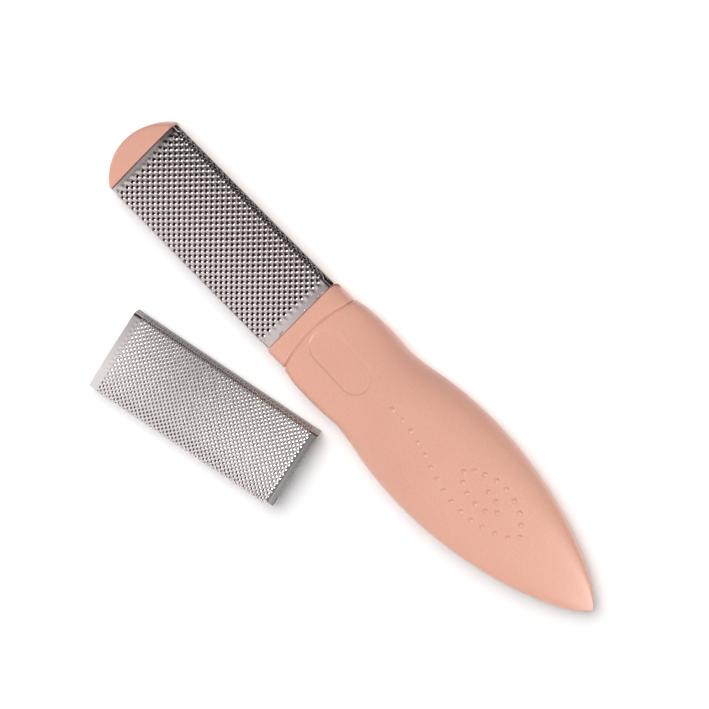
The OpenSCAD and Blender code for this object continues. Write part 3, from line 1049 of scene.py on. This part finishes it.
    def half(self, up: int, finish: bpy.types.Material) -> bpy.types.Object:
        """Makes one half of the handle as a closed shell round its hollow.

        Args:
            up: 1 for the upper half, -1 for the lower.
            finish: the plastic.

        Returns:
            The half.
        """
        draft = Draft()
        rows = self.rows(up)
        rings = [draft.add(self.outer_ring(d, inset, rows, up)) for d, inset in self.stations(up)]
        inner = [draft.add(self.hollow_ring(i / 24, up)) for i in range(25)]
        for one, two in zip(rings, rings[1:]):
            draft.band(one, two)
        for one, two in zip(inner, inner[1:]):
            draft.band(two, one)
        draft.zip(rings[0], inner[0])
        for side in (0, -1):
            draft.zip([ring[side] for ring in rings], [ring[side] for ring in inner])
        return draft.piece("handle_upper_half" if up > 0 else "handle_lower_half", finish, crease=40.0)

    def stations(self, up: int) -> list[Flat]:
        """Places of the skin's rings: close together in the groove, round the panel and at the tail's end.

        Args:
            up: 1 for the upper half, -1 for the lower.

        Returns:
            Distances behind the collar's front face, and how deep in the groove the skin lies there.
        """
        width, depth = self.groove
        groove = [(self.mouth + width * i / 8, depth * (1 + math.cos(math.pi * i / 8)) / 2) for i in range(9)]
        gap = PANEL_GAP if up > 0 else PLAIN_GAP
        near = [self.mouth + width + gap * i for i in range(1, int(PANEL_ZONE / gap) + 1)]
        start, end = near[-1], self.length - TAIL_ZONE
        along = [start + (end - start) * i / 100 for i in range(1, 101)]
        tail = [self.length - TAIL_ZONE * (1 - i / 30) ** 2 for i in range(1, 31)]
        return groove + [(d, 0.0) for d in near + along + tail]

    @staticmethod
    def rows(up: int) -> list[tuple[float, float | None]]:
        """Places of the points of a ring, close together across the panel and on the steep sides.

        Args:
            up: 1 for the upper half, -1 for the lower.

        Returns:
            Shares of the half-width, and of the height left on the steep sides or None, as skin takes them.
        """
        count = round(PANEL_SHARE / (PANEL_CROSS if up > 0 else PLAIN_CROSS))
        half = ([PANEL_SHARE * i / count for i in range(count + 1)]
                + [PANEL_SHARE + (STEEP - PANEL_SHARE) * i / 11 for i in range(1, 12)])
        middle = [(q, None) for q in [-q for q in reversed(half[1:])] + half]
        side = [1.0 - i / 14 for i in range(1, 14)]
        return [(-1.0, p) for p in reversed(side)] + middle + [(1.0, p) for p in side]

    def outer_ring(self, d: float, inset: float, rows: list[tuple[float, float | None]], up: int) -> list[Point]:
        """Half ring of the skin from one side of the parting line to the other, with a small bevel at both.

        Args:
            d: the distance behind the collar's front face.
            inset: the depth under the skin.
            rows: the places of its points.
            up: 1 for the upper half, -1 for the lower.

        Returns:
            The points.
        """
        ring = [self.skin(d, q, p, up, inset) for q, p in rows]

        def bevel(point: Point, side: int) -> list[Point]:
            """The two points of the bevel: on the skin, and further in on the parting line's plane."""
            x, y, z = point
            return [(x, y, self.parting + up * min(self.parting_bevel, abs(z - self.parting))),
                    (x, y - side * min(self.parting_bevel, abs(y) * 0.5), self.parting)]

        return bevel(ring[0], -1)[::-1] + ring + bevel(ring[-1], 1)

    def hollow_ring(self, way: float, up: int) -> list[Point]:
        """Half ring of the hollow.

        Args:
            way: the share of the way from the mouth to the hollow's rounded end.
            up: 1 for the upper half, -1 for the lower.

        Returns:
            The points.
        """
        length = self.length - self.tail - self.mouth
        d = self.mouth + length * (1 - (1 - way) ** 1.5)
        shrink = math.sqrt(max(0.0, 1 - ((d - self.mouth) / length) ** HOLLOW_END))
        ring = []
        for j in range(17):
            across = math.cos(math.pi * (1 - j / 16))
            q = math.copysign(abs(across) ** 0.7, across)
            share = (1.0 - abs(q) ** HOLLOW_ROUND) ** (1 / HOLLOW_ROUND)
            x, y, _ = self.skin(d, q, None, up, self.wall)
            deep = (self.rise(-x) if up > 0 else self.drop(-x)) - self.wall
            z = self.parting + up * max(0.1, deep) * share * shrink
            ring.append((x, y * shrink, z if up > 0 else max(z, self.wall)))
        return [(*ring[0][:2], self.parting), *ring[1:-1], (*ring[-1][:2], self.parting)]

    def nub(self) -> bpy.types.Object:
        """Makes one small domed nub on the origin."""
        draft = Draft()
        turns = [2 * math.pi * i / self.nub_sides for i in range(self.nub_sides)]
        profile = [(self.nub_radius * r, self.nub_height * h) for r, h in self.nub_profile]
        rings = [draft.add([(r * math.cos(t), r * math.sin(t), z) for t in turns]) for r, z in profile[:-1]]
        for one, two in zip(rings, rings[1:]):
            draft.band(one, two, closed=True)
        draft.fan(rings[-1], (0.0, 0.0, profile[-1][1]))
        draft.fan(rings[0][::-1], (0.0, 0.0, profile[0][1]))
        return draft.piece("nub", None)

    def swirl(self, surface: bpy.types.Object, finish: bpy.types.Material) -> bpy.types.Object:
        """Sets a nub on each point of their path, upright on the handle's skin.

        Args:
            surface: the upper half.
            finish: the plastic.

        Returns:
            All nubs as one piece.
        """
        curve = bpy.data.curves.new("nub_path", "CURVE")
        curve.dimensions = "3D"
        spline = curve.splines.new("POLY")
        spline.points.add(len(self.nub_path) - 1)
        for point, (x, y) in zip(spline.points, self.nub_path):
            point.co = (x * MM, y * MM, 0.03, 1.0)
        path = bpy.data.objects.new("nub_path", curve)
        bpy.context.scene.collection.objects.link(path)
        desk, given, keys = tree_of("grip_swirl", {
            "Geometry": "NodeSocketGeometry", "Path": "NodeSocketObject", "Surface": "NodeSocketObject",
            "Nub": "NodeSocketObject", "Finish": "NodeSocketMaterial"})
        own = {"transform_space": "ORIGINAL"}
        line = desk.node("GeometryNodeObjectInfo", own, {"Object": given["Path"]}, out="Geometry")
        points = desk.node("GeometryNodeCurveToPoints", {"mode": "EVALUATED"}, {"Curve": line}, out="Points")
        skin = desk.node("GeometryNodeObjectInfo", own, {"Object": given["Surface"]}, out="Geometry")
        ray = desk.node("GeometryNodeRaycast", {}, {
            "Target Geometry": skin, "Ray Direction": (0.0, 0.0, -1.0), "Ray Length": 0.1}, out="Hit Position")
        down = desk.node("GeometryNodeSetPosition", {}, {"Geometry": points, "Position": ray})
        normal = desk.node("GeometryNodeSampleNearestSurface", {"data_type": "FLOAT_VECTOR"}, {
            "Mesh": skin, "Value": desk.node("GeometryNodeInputNormal")})
        upright = desk.node("FunctionNodeAlignRotationToVector", {"axis": "Z"}, {"Vector": normal})
        nubs = desk.node("GeometryNodeInstanceOnPoints", {}, {
            "Points": down, "Instance": desk.node("GeometryNodeObjectInfo", own, {"Object": given["Nub"]},
                                                  out="Geometry"), "Rotation": upright})
        real = desk.node("GeometryNodeRealizeInstances", {}, {"Geometry": nubs})
        dressed = desk.node("GeometryNodeSetMaterial", {}, {"Geometry": real, "Material": given["Finish"]})
        desk.node("NodeGroupOutput", {}, {"Geometry": dressed})
        host = Draft().piece("grip_nubs", None, outward=False)
        nub = self.nub()
        grown(host, desk, keys, {"Path": path, "Surface": surface, "Nub": nub, "Finish": finish}, crease=60.0)
        bpy.data.objects.remove(nub)
        bpy.data.objects.remove(path)
        return host

    def build(self, finish: bpy.types.Material) -> None:
        """Makes both halves and the nubs.

        Args:
            finish: the plastic.
        """
        upper, lower = self.half(1, finish), self.half(-1, finish)
        nubs = self.swirl(upper, finish)
        fitted(upper, "handle", "handle_plastic", "handle_top")
        fitted(lower, "handle", "handle_plastic", "handle_bottom")
        fitted(nubs, "handle", "handle_plastic")


# ---------------------------------------------------------------------------------------------------------------------
# Head


@dataclass(frozen=True)
class Prongs:
    """The tip's two prongs, which slide into sockets in the tongue's end."""

    length: float = 12.0
    wide: float = 5.0
    thick: float = 2.2
    off_middle: float = 7.0
    high: float = 2.1

    def add(self, draft: Draft, end: float, play: float = 0.0) -> None:
        """Adds both prongs, or the room for them, as boxes.

        Args:
            draft: what they are added to.
            end: X of the tongue's end, which they pass by a millimetre.
            play: how much larger they are on all sides.
        """
        for y in (-self.off_middle, self.off_middle):
            draft.brick((end - self.length - play, y - self.wide / 2 - play, self.high - self.thick / 2 - play),
                        (end + 1.0, y + self.wide / 2 + play, self.high + self.thick / 2 + play))


@dataclass
class Head:
    """Front moulding: the collar, its plug in the handle's mouth, the tang, and the tongue with its dust tray.

    flange is half the width and the height of the tongue's foot, tang its reach behind the collar's front face and
    its width, and root how far the tongue goes into the collar and how high its underside lies there. The bevel of
    the tongue's end is given by its length, the share of the width that is left and its height, which is taken off
    below end_middle upwards and above it downwards.
    """

    handle: Handle
    section: SheetSection = SheetSection()
    plate_z: float = 2.4
    tongue: float = 70.9
    core_gap: float = 0.6
    flange: Flat = (13.7, 2.2)
    neck: float = 11.9
    flange_r: float = 1.0
    root: Flat = (2.6, 0.7)
    end_bevel: tuple[float, float, float] = (0.3, 0.985, 0.25)
    end_middle: float = 3.0
    corner: float = 1.4
    front_r: float = 0.4
    middle_z: float = 5.0
    plug: float = 14.0
    plug_gap: float = 0.2
    tang: Flat = (49.0, 16.0)
    tang_t: float = 3.6
    tray_floor: float = 4.2
    tray_rail: float = 2.0
    tray_end: float = 2.5
    tray_top: float = 12.0
    prongs: Prongs = Prongs()
    socket_play: float = 0.12
    loop: int = 120

    def outline(self, inset: float) -> list[Flat]:
        """Closed section of the collar.

        Args:
            inset: the depth under its skin.

        Returns:
            Y and Z, counter-clockwise.
        """
        form, points = self.handle, []
        # The groove is shallow below, where a rise of its whole depth would show as a gap.
        lowest = inset if inset > form.groove[1] else inset * 0.3
        for i in range(self.loop):
            angle = 2 * math.pi * (i + 0.5) / self.loop
            up = math.sin(angle) > 0
            n = form.roundness[0][1] if up else form.under
            a = form.collar_w / 2 - inset
            b = (form.collar_h - form.parting if up else form.parting + form.land) - inset
            y = a * math.copysign(abs(math.cos(angle)) ** (2 / n), math.cos(angle))
            z = form.parting + math.copysign(b * abs(math.sin(angle)) ** (2 / n), math.sin(angle))
            points.append((y, max(z, lowest)))
        return points

    def front(self, y: float) -> float:
        """X of the collar's front face, with its rounded corners seen from above."""
        over = abs(y) - (self.handle.collar_w / 2 - self.corner)
        return 0.0 if over <= 0 else -(self.corner - math.sqrt(max(0.0, self.corner ** 2 - over ** 2)))

    def collar(self) -> Draft:
        """Lofts the collar and its plug.

        Returns:
            The closed draft.
        """
        draft, rings = Draft(), []
        form, plug_inset = self.handle, self.handle.wall + self.plug_gap
        wide, deep = form.groove

        def ring(inset: float, place: Callable[[float], float]) -> None:
            """Adds one ring of the loft, placed by the outline's own points, so that it meets the handle's mouth."""
            rings.append(draft.add([(place(skin_y), y, z) for (skin_y, _), (y, z)
                                    in zip(self.outline(0.0), self.outline(inset))]))

        for i in range(6):
            t = math.pi / 2 * i / 5
            ring(self.front_r * (1 - math.sin(t)), lambda y, t=t: self.front(y) - self.front_r * (1 - math.cos(t)))
        for share in (0.25, 0.5, 0.75):
            ring(0.0, lambda y, share=share: (self.front(y) - self.front_r) * (1 - share)
                 - (form.collar_len + form.sweep(y) - wide) * share)
        for i in range(9):
            ring(deep * (1 - math.cos(math.pi * i / 8)) / 2,
                 lambda y, i=i: -(form.collar_len + form.sweep(y) - wide * (1 - i / 8)))
        ring(plug_inset, lambda y: -(form.collar_len + form.sweep(y)))
        ring(plug_inset, lambda y: -self.plug)
        for one, two in zip(rings, rings[1:]):
            draft.band(one, two, closed=True)
        draft.fan(rings[0], (0.0, 0.0, self.middle_z))
        draft.fan(rings[-1][::-1], (-self.plug, 0.0, self.middle_z))
        return draft

    def tongue_section(self) -> list[Flat]:
        """Closed section of the tongue: a core that lies under the plate's crown, on a neck and a flat foot.

        Returns:
            Y and Z.
        """
        crown, roll, wall, fold, _ = self.section.stops
        marks = ([crown * i / 10 for i in range(11)] + [crown + (roll - crown) * i / 6 for i in range(1, 7)]
                 + [wall + (fold - wall) * i / 3 for i in range(4)])
        side = [(y, z + self.plate_z) for y, z in [self.section.point(s, -self.core_gap) for s in marks]]
        half, thick = self.flange
        side += [(self.neck, side[-1][1]), (self.neck, thick), (half, thick), (half, self.flange_r)]
        side += [(half - self.flange_r * (1 - math.cos(t)), self.flange_r * (1 - math.sin(t)))
                 for t in [math.pi / 2 * i / 5 for i in range(1, 6)]]
        return side + [(-y, z) for y, z in reversed(side)][:-1]

    def tongue_bar(self, finish: bpy.types.Material) -> bpy.types.Object:
        """Extrudes the tongue's section and carves its tray and sockets.

        Args:
            finish: the plastic.

        Returns:
            The tongue.
        """
        loop, draft = self.tongue_section(), Draft()
        (back, low), (bevel, narrow, trim) = self.root, self.end_bevel
        # The root rises inside the collar, so that the two undersides don't share a plane.
        rings = [draft.add([(-back, y, max(z, low)) for y, z in loop])]
        rings += [draft.add([(x, y, z) for y, z in loop]) for x in (-bevel, self.tongue - bevel)]
        rings.append(draft.add([(self.tongue, y * narrow, z + (trim if z < self.end_middle else -trim))
                                for y, z in loop]))
        for one, two in zip(rings, rings[1:]):
            draft.band(one, two, closed=True)
        draft.faces += [tuple(rings[0][::-1]), tuple(rings[-1])]
        bar = draft.piece("head_tongue", finish)
        cut = Draft()
        rail = self.section.width / 2 - self.core_gap - self.tray_rail
        cut.brick((self.tray_end, -rail, self.tray_floor), (self.tongue - self.tray_end, rail, self.tray_top))
        self.prongs.add(cut, self.tongue, self.socket_play)
        carved(bar, cut.piece("tongue_cuts", None))
        return bar

    def build(self, finish: bpy.types.Material) -> None:
        """Makes the front moulding.

        Args:
            finish: the plastic.
        """
        draft = self.collar()
        reach, wide = self.tang
        low, high = (self.handle.parting + way * self.tang_t / 2 for way in (-1, 1))
        draft.brick((-reach, -wide / 2, low), (-self.plug + 0.5, wide / 2, high))
        collar = draft.piece("head_collar", finish, crease=38.0)
        tongue = self.tongue_bar(finish)
        fitted(collar, "handle", "handle_plastic", "head_carrier")
        fitted(tongue, "handle", "handle_plastic")


@dataclass
class TipCap:
    """Half-moon tip that closes the tongue, with two prongs.

    start is X of its straight edge, which a chamfer breaks, and side the length of its straight sides before the arc
    begins. Its top has the radius crown across, rolls down over edge_r at the sides and over arc_round at the arc.
    """

    start: float = 70.9
    length: float = 8.0
    side: float = 0.8
    width: float = 29.0
    top: float = 10.3
    crown: float = 90.3
    edge_r: float = 1.5
    arc_round: float = 1.1
    low_round: float = 1.2
    chamfer: float = 0.3
    prongs: Prongs = Prongs()
    cross: int = 48
    deep: int = 10
    round_cuts: int = 6

    def arc_x(self, y: float, inset: float) -> float:
        """X of the outer arc at y."""
        reach = self.length - self.side
        radius = ((self.width / 2) ** 2 + reach ** 2) / (2 * reach)
        return self.start + self.length - radius + math.sqrt(max(0.0, (radius - inset) ** 2 - y * y))

    def plan(self, i: int, k: int, arc_inset: float, straight_inset: float) -> Flat:
        """Place in plan of one point of the grid that fills the half-moon.

        Args:
            i: the number across, from 0 to cross.
            k: the number from the straight edge to the arc, from 0 to deep.
            arc_inset: the inset from the arc and the sides.
            straight_inset: the inset from the straight edge.

        Returns:
            X and Y.
        """
        u = math.sin(math.pi * (i / self.cross - 0.5))
        y = (self.width / 2 - arc_inset) * u
        near = self.start + straight_inset
        far = max(near + 0.05, self.arc_x(y, arc_inset))
        return near + (far - near) * k / self.deep, y

    def upper_z(self, y: float, arc_inset: float, straight_inset: float) -> float:
        """Height of the top where it lies those distances inside the outline."""
        high = self.top - self.crown + math.sqrt(self.crown ** 2 - y * y)
        roll = self.edge_r - min(self.edge_r, self.width / 2 - abs(y))
        side = self.edge_r - math.sqrt(max(0.0, self.edge_r ** 2 - roll ** 2))
        cut = self.arc_round - min(self.arc_round, arc_inset)
        arc = self.arc_round - math.sqrt(max(0.0, self.arc_round ** 2 - cut ** 2))
        return high - max(side, arc) - max(0.0, self.chamfer - straight_inset)

    def loop(self) -> list[tuple[int, int]]:
        """The grid's border, as a ring of grid numbers."""
        return ([(i, 0) for i in range(self.cross)] + [(self.cross, k) for k in range(self.deep)]
                + [(i, self.deep) for i in range(self.cross, 0, -1)] + [(0, k) for k in range(self.deep, 0, -1)])

    def point(self, i: int, k: int, share: float, high: bool) -> Point:
        """Place of one point of the grid on a layer of the top or of the underside.

        Args:
            i: its number across.
            k: its number from the straight edge to the arc.
            share: the layer, from 0 for the flat of the top or underside to 1 for the full outline.
            high: whether it is on the top.

        Returns:
            X, Y and Z.
        """
        t = math.pi / 2 * share
        inset = (self.arc_round if high else self.low_round) * (1 - math.sin(t))
        straight = self.chamfer * (1 - share)
        x, y = self.plan(i, k, inset, straight)
        # Only the straight edge's own points are near enough to it for the chamfer.
        z = (self.upper_z(y, inset, math.inf if k else straight) if high
             else self.low_round * (1 - math.cos(t)))
        return x, y, z

    def patch(self, draft: Draft, high: bool) -> list[int]:
        """Fills the half-moon inside its rounded border.

        Args:
            draft: what it is added to.
            high: whether it is the top.

        Returns:
            The numbers of its border's points.
        """
        numbers = {}
        for i in range(self.cross + 1):
            for k in range(self.deep + 1):
                numbers[i, k] = draft.add([self.point(i, k, 0.0, high)])[0]
        for i in range(self.cross):
            for k in range(self.deep):
                face = (numbers[i, k], numbers[i + 1, k], numbers[i + 1, k + 1], numbers[i, k + 1])
                draft.faces.append(face if high else face[::-1])
        return [numbers[spot] for spot in self.loop()]

    def build(self, finish: bpy.types.Material) -> None:
        """Makes the tip.

        Args:
            finish: the plastic.
        """
        draft = Draft()
        shares = [i / self.round_cuts for i in range(1, self.round_cuts + 1)]
        rings = [self.patch(draft, True)]
        for high, layers in ((True, shares), (False, shares[::-1])):
            rings += [draft.add([self.point(i, k, share, high) for i, k in self.loop()]) for share in layers]
        rings.append(self.patch(draft, False))
        for one, two in zip(rings, rings[1:]):
            draft.band(one, two, closed=True)
        self.prongs.add(draft, self.start)
        fitted(draft.piece("half_moon_tip", finish, crease=40.0), "tip", "handle_plastic", "tip_cap")


# ---------------------------------------------------------------------------------------------------------------------
# Studio


@dataclass(frozen=True)
class Lamp:
    """One soft round lamp that points at the file, with its distance and size in metres and its power in watts.

    It lights either the floor or all else, so that the shadow can fall as it does in the photograph. It can be kept
    out of what shiny surfaces mirror, or be seen only there, as a photographer's reflector is.
    """

    name: str
    towards: Point
    distance: float
    size: float
    power: float
    mirrored: bool = True
    lighting: bool = True
    on_floor: bool = False

    def place(self, target: Vector, floor: bpy.types.Object) -> None:
        """Hangs the lamp.

        Args:
            target: the point that it faces.
            floor: the floor.
        """
        data = bpy.data.lights.new(self.name, "AREA")
        data.shape, data.size, data.energy = "DISK", self.size, self.power
        lamp = bpy.data.objects.new(self.name, data)
        way = Vector(self.towards).normalized()
        lamp.location = target + way * self.distance
        lamp.rotation_mode = "QUATERNION"
        lamp.rotation_quaternion = way.to_track_quat("Z", "Y")
        lamp.visible_glossy, lamp.visible_diffuse = self.mirrored, self.lighting
        share = bpy.data.collections.new(self.name + "_share")
        share.objects.link(floor)
        share.collection_objects[0].light_linking.link_state = "INCLUDE" if self.on_floor else "EXCLUDE"
        lamp.light_linking.receiver_collection = share
        bpy.context.scene.collection.objects.link(lamp)


@dataclass(frozen=True)
class Flag:
    """Dark card that only the steel mirrors, as a photographer's flag. Its shade is 0 for black and 1 for white."""

    name: str
    middle: Point
    size: Flat
    turn: float = 0.0
    shade: float = 0.01

    def place(self) -> None:
        """Lays the card level at its place."""
        material, desk = blank_material(self.name)
        desk.node("ShaderNodeOutputMaterial", {}, {"Surface": desk.node("ShaderNodeEmission", {}, {
            "Color": (self.shade, self.shade, self.shade, 1.0), "Strength": 1.0})})
        card = sheet(self.name, self.size[0] * MM, self.size[1] * MM, material)
        card.data.transform(Matrix.Translation(Vector(self.middle) * MM)
                            @ Matrix.Rotation(math.radians(self.turn), 4, "Z"))
        card.visible_camera = card.visible_diffuse = card.visible_shadow = card.visible_transmission = False


def sheet(name: str, length: float, width: float, material: bpy.types.Material) -> bpy.types.Object:
    """Makes a flat level rectangle round the origin.

    Args:
        name: the object's name.
        length: its size along X, in metres.
        width: its size along Y, in metres.
        material: what covers it.

    Returns:
        The object.
    """
    x, y = length / 2, width / 2
    mesh = bpy.data.meshes.new(name)
    mesh.from_pydata([(-x, -y, 0.0), (x, -y, 0.0), (x, y, 0.0), (-x, y, 0.0)], [], [(0, 1, 2, 3)])
    mesh.materials.append(material)
    made = bpy.data.objects.new(name, mesh)
    bpy.context.scene.collection.objects.link(made)
    return made


@dataclass
class Studio:
    """Pale floor, soft lamps, white surroundings and the camera.

    The camera leans back by tilt degrees and stands so many metres from the target. turn is the cosine and sine of
    the file's direction in the picture, and scale is how many millimetres of it one pixel shows. The lamps aim at a
    point in metres. For the metal, the sky runs from dark to bright between two values of the view's direction, and
    is never darker than the third number. For light alone it has the strength ambient.
    """

    tilt: float = 13.0
    turn: Flat = (0.7028, 0.7114)
    target: Point = (-20.41, -3.36, 5.0)
    distance: float = 1.0
    scale: float = 0.31674
    sensor: float = 36.0
    room: float = 8.0
    floor_white: float = 0.95
    floor_glow: float = 0.05
    ambient: float = 0.28
    sky: tuple[float, float, float] = (-0.55, 0.4, 0.05)
    sky_lean: float = 0.2
    aim: Point = (0.0, 0.01, 0.0)
    lamps: tuple[Lamp, ...] = (
        Lamp("tail_softbox", (-0.76, -0.36, 0.5), 0.9, 0.4, 3.5, mirrored=False),
        Lamp("tail_reflector", (-0.76, 0.0, 0.62), 0.9, 0.48, 5.6, lighting=False),
        Lamp("head_softbox", (0.4, 0.42, 0.8), 1.3, 0.5, 10.8, mirrored=False),
        Lamp("floor_softbox", (0.46, -0.22, 1.0), 2.0, 2.2, 46.0, mirrored=False, on_floor=True))
    flags: tuple[Flag, ...] = (
        Flag("file_side_flag", (35.0, -36.0, 0.2), (74.0, 42.0)),
        Flag("spare_side_flag", (6.5, 18.6, 0.2), (72.0, 24.0), 12.0, 0.4),
        Flag("tip_black_flag", (93.6, -102.5, 60.0), (40.0, 195.0)),
        Flag("tip_grey_flag", (93.6, 17.5, 60.0), (40.0, 45.0), 0.0, 0.36),
        Flag("spare_grey_flag", (-54.4, 65.4, 60.0), (40.0, 112.0), 12.0, 0.2))

    def floor(self) -> bpy.types.Object:
        """Lays the floor, which the camera sees as white with the file's soft shadow.

        Returns:
            The floor.
        """
        material, desk = blank_material("pale_floor")
        camera, shown = desk.rays()
        white = self.floor_white
        lit = desk.node("ShaderNodeBsdfDiffuse", {}, {"Color": (white, white, white, 1.0)})
        glow = desk.node("ShaderNodeEmission", {}, {
            "Color": (1.0, 1.0, 1.0, 1.0), "Strength": (camera + shown) * self.floor_glow})
        both = desk.node("ShaderNodeAddShader", {}, {0: lit, 1: glow})
        desk.node("ShaderNodeOutputMaterial", {}, {"Surface": both})
        floor = sheet("floor", self.room, self.room, material)
        return floor

    def surroundings(self) -> None:
        """Makes the world white to the eye, dimmer as a light, and shaded from one side to the other for metal."""
        world = bpy.data.worlds.new("studio")
        bpy.context.scene.world = world
        world.use_nodes = True
        world.node_tree.nodes.clear()
        desk = Desk(world.node_tree)
        dark, bright, least = self.sky
        way = desk.node("ShaderNodeSeparateXYZ", {}, {0: desk.node("ShaderNodeTexCoord", out="Generated")})
        along = way.other("Y") - way * self.sky_lean
        shade = ((along - dark) * (1.0 / (bright - dark))).between(least, 1.0)
        camera, shown = desk.rays()
        light = shown * shade + (1.0 - shown) * self.ambient
        back = desk.node("ShaderNodeBackground", {}, {
            "Color": (1.0, 1.0, 1.0, 1.0), "Strength": camera + (1.0 - camera) * light})
        desk.node("ShaderNodeOutputWorld", {}, {"Surface": back})

    def camera(self) -> None:
        """Sets the camera at the photograph's angle."""
        tilt = math.radians(self.tilt)
        tail, across = Vector((-1.0, 0.0, 0.0)), Vector((0.0, -math.cos(tilt), -math.sin(tilt)))
        c, s = self.turn
        right, upward = tail * c + across * s, tail * -s + across * c
        back = right.cross(upward)
        data = bpy.data.cameras.new("camera")
        data.sensor_width = self.sensor
        data.lens = self.sensor * self.distance / (PHOTO * self.scale * MM)
        camera = bpy.data.objects.new("camera", data)
        where = Vector(self.target) * MM + back * self.distance
        camera.matrix_world = Matrix.Translation(where) @ Matrix((right, upward, back)).transposed().to_4x4()
        bpy.context.scene.collection.objects.link(camera)
        bpy.context.scene.camera = camera

    def build(self) -> None:
        """Makes the studio."""
        floor = self.floor()
        self.surroundings()
        for lamp in self.lamps:
            lamp.place(Vector(self.aim), floor)
        for flag in self.flags:
            flag.place()
        self.camera()
        bpy.context.scene.view_settings.view_transform = "Standard"


def main() -> None:
    """Builds the studio, then the pieces in the order in which the file is put together."""
    logging.basicConfig(level=logging.INFO, format="%(name)s: %(message)s")
    Studio().build()
    plastic = BlushPlastic().make()
    handle = Handle()
    handle.build(plastic)
    Head(handle).build(plastic)
    coarse = RaspPlate("coarse_plate", "plate", "coarse_rasp_plate", RaspCut.COARSE, (0.15, 0.0, 2.4), length=70.6,
                       dents=((-10.0, 1.6, 0.6), (-3.5, 0.8, 0.45), (7.6, 1.1, 0.7)))
    coarse.build(RolledSteel("coarse_steel").make())
    fine = RaspPlate("fine_plate", "spare", "fine_rasp_plate", RaspCut.FINE, (1.0, 44.5, 0.0), turn=12.0,
                     centred=True)
    # Painted light: the fine plate's steel is set lighter than the coarse plate's, for the brighter reflection it
    # shows.
    fine.build(RolledSteel("fine_steel", fine.turn, (229, 221, 220)).make())
    TipCap().build(plastic)


if __name__ == "__main__":
    main()
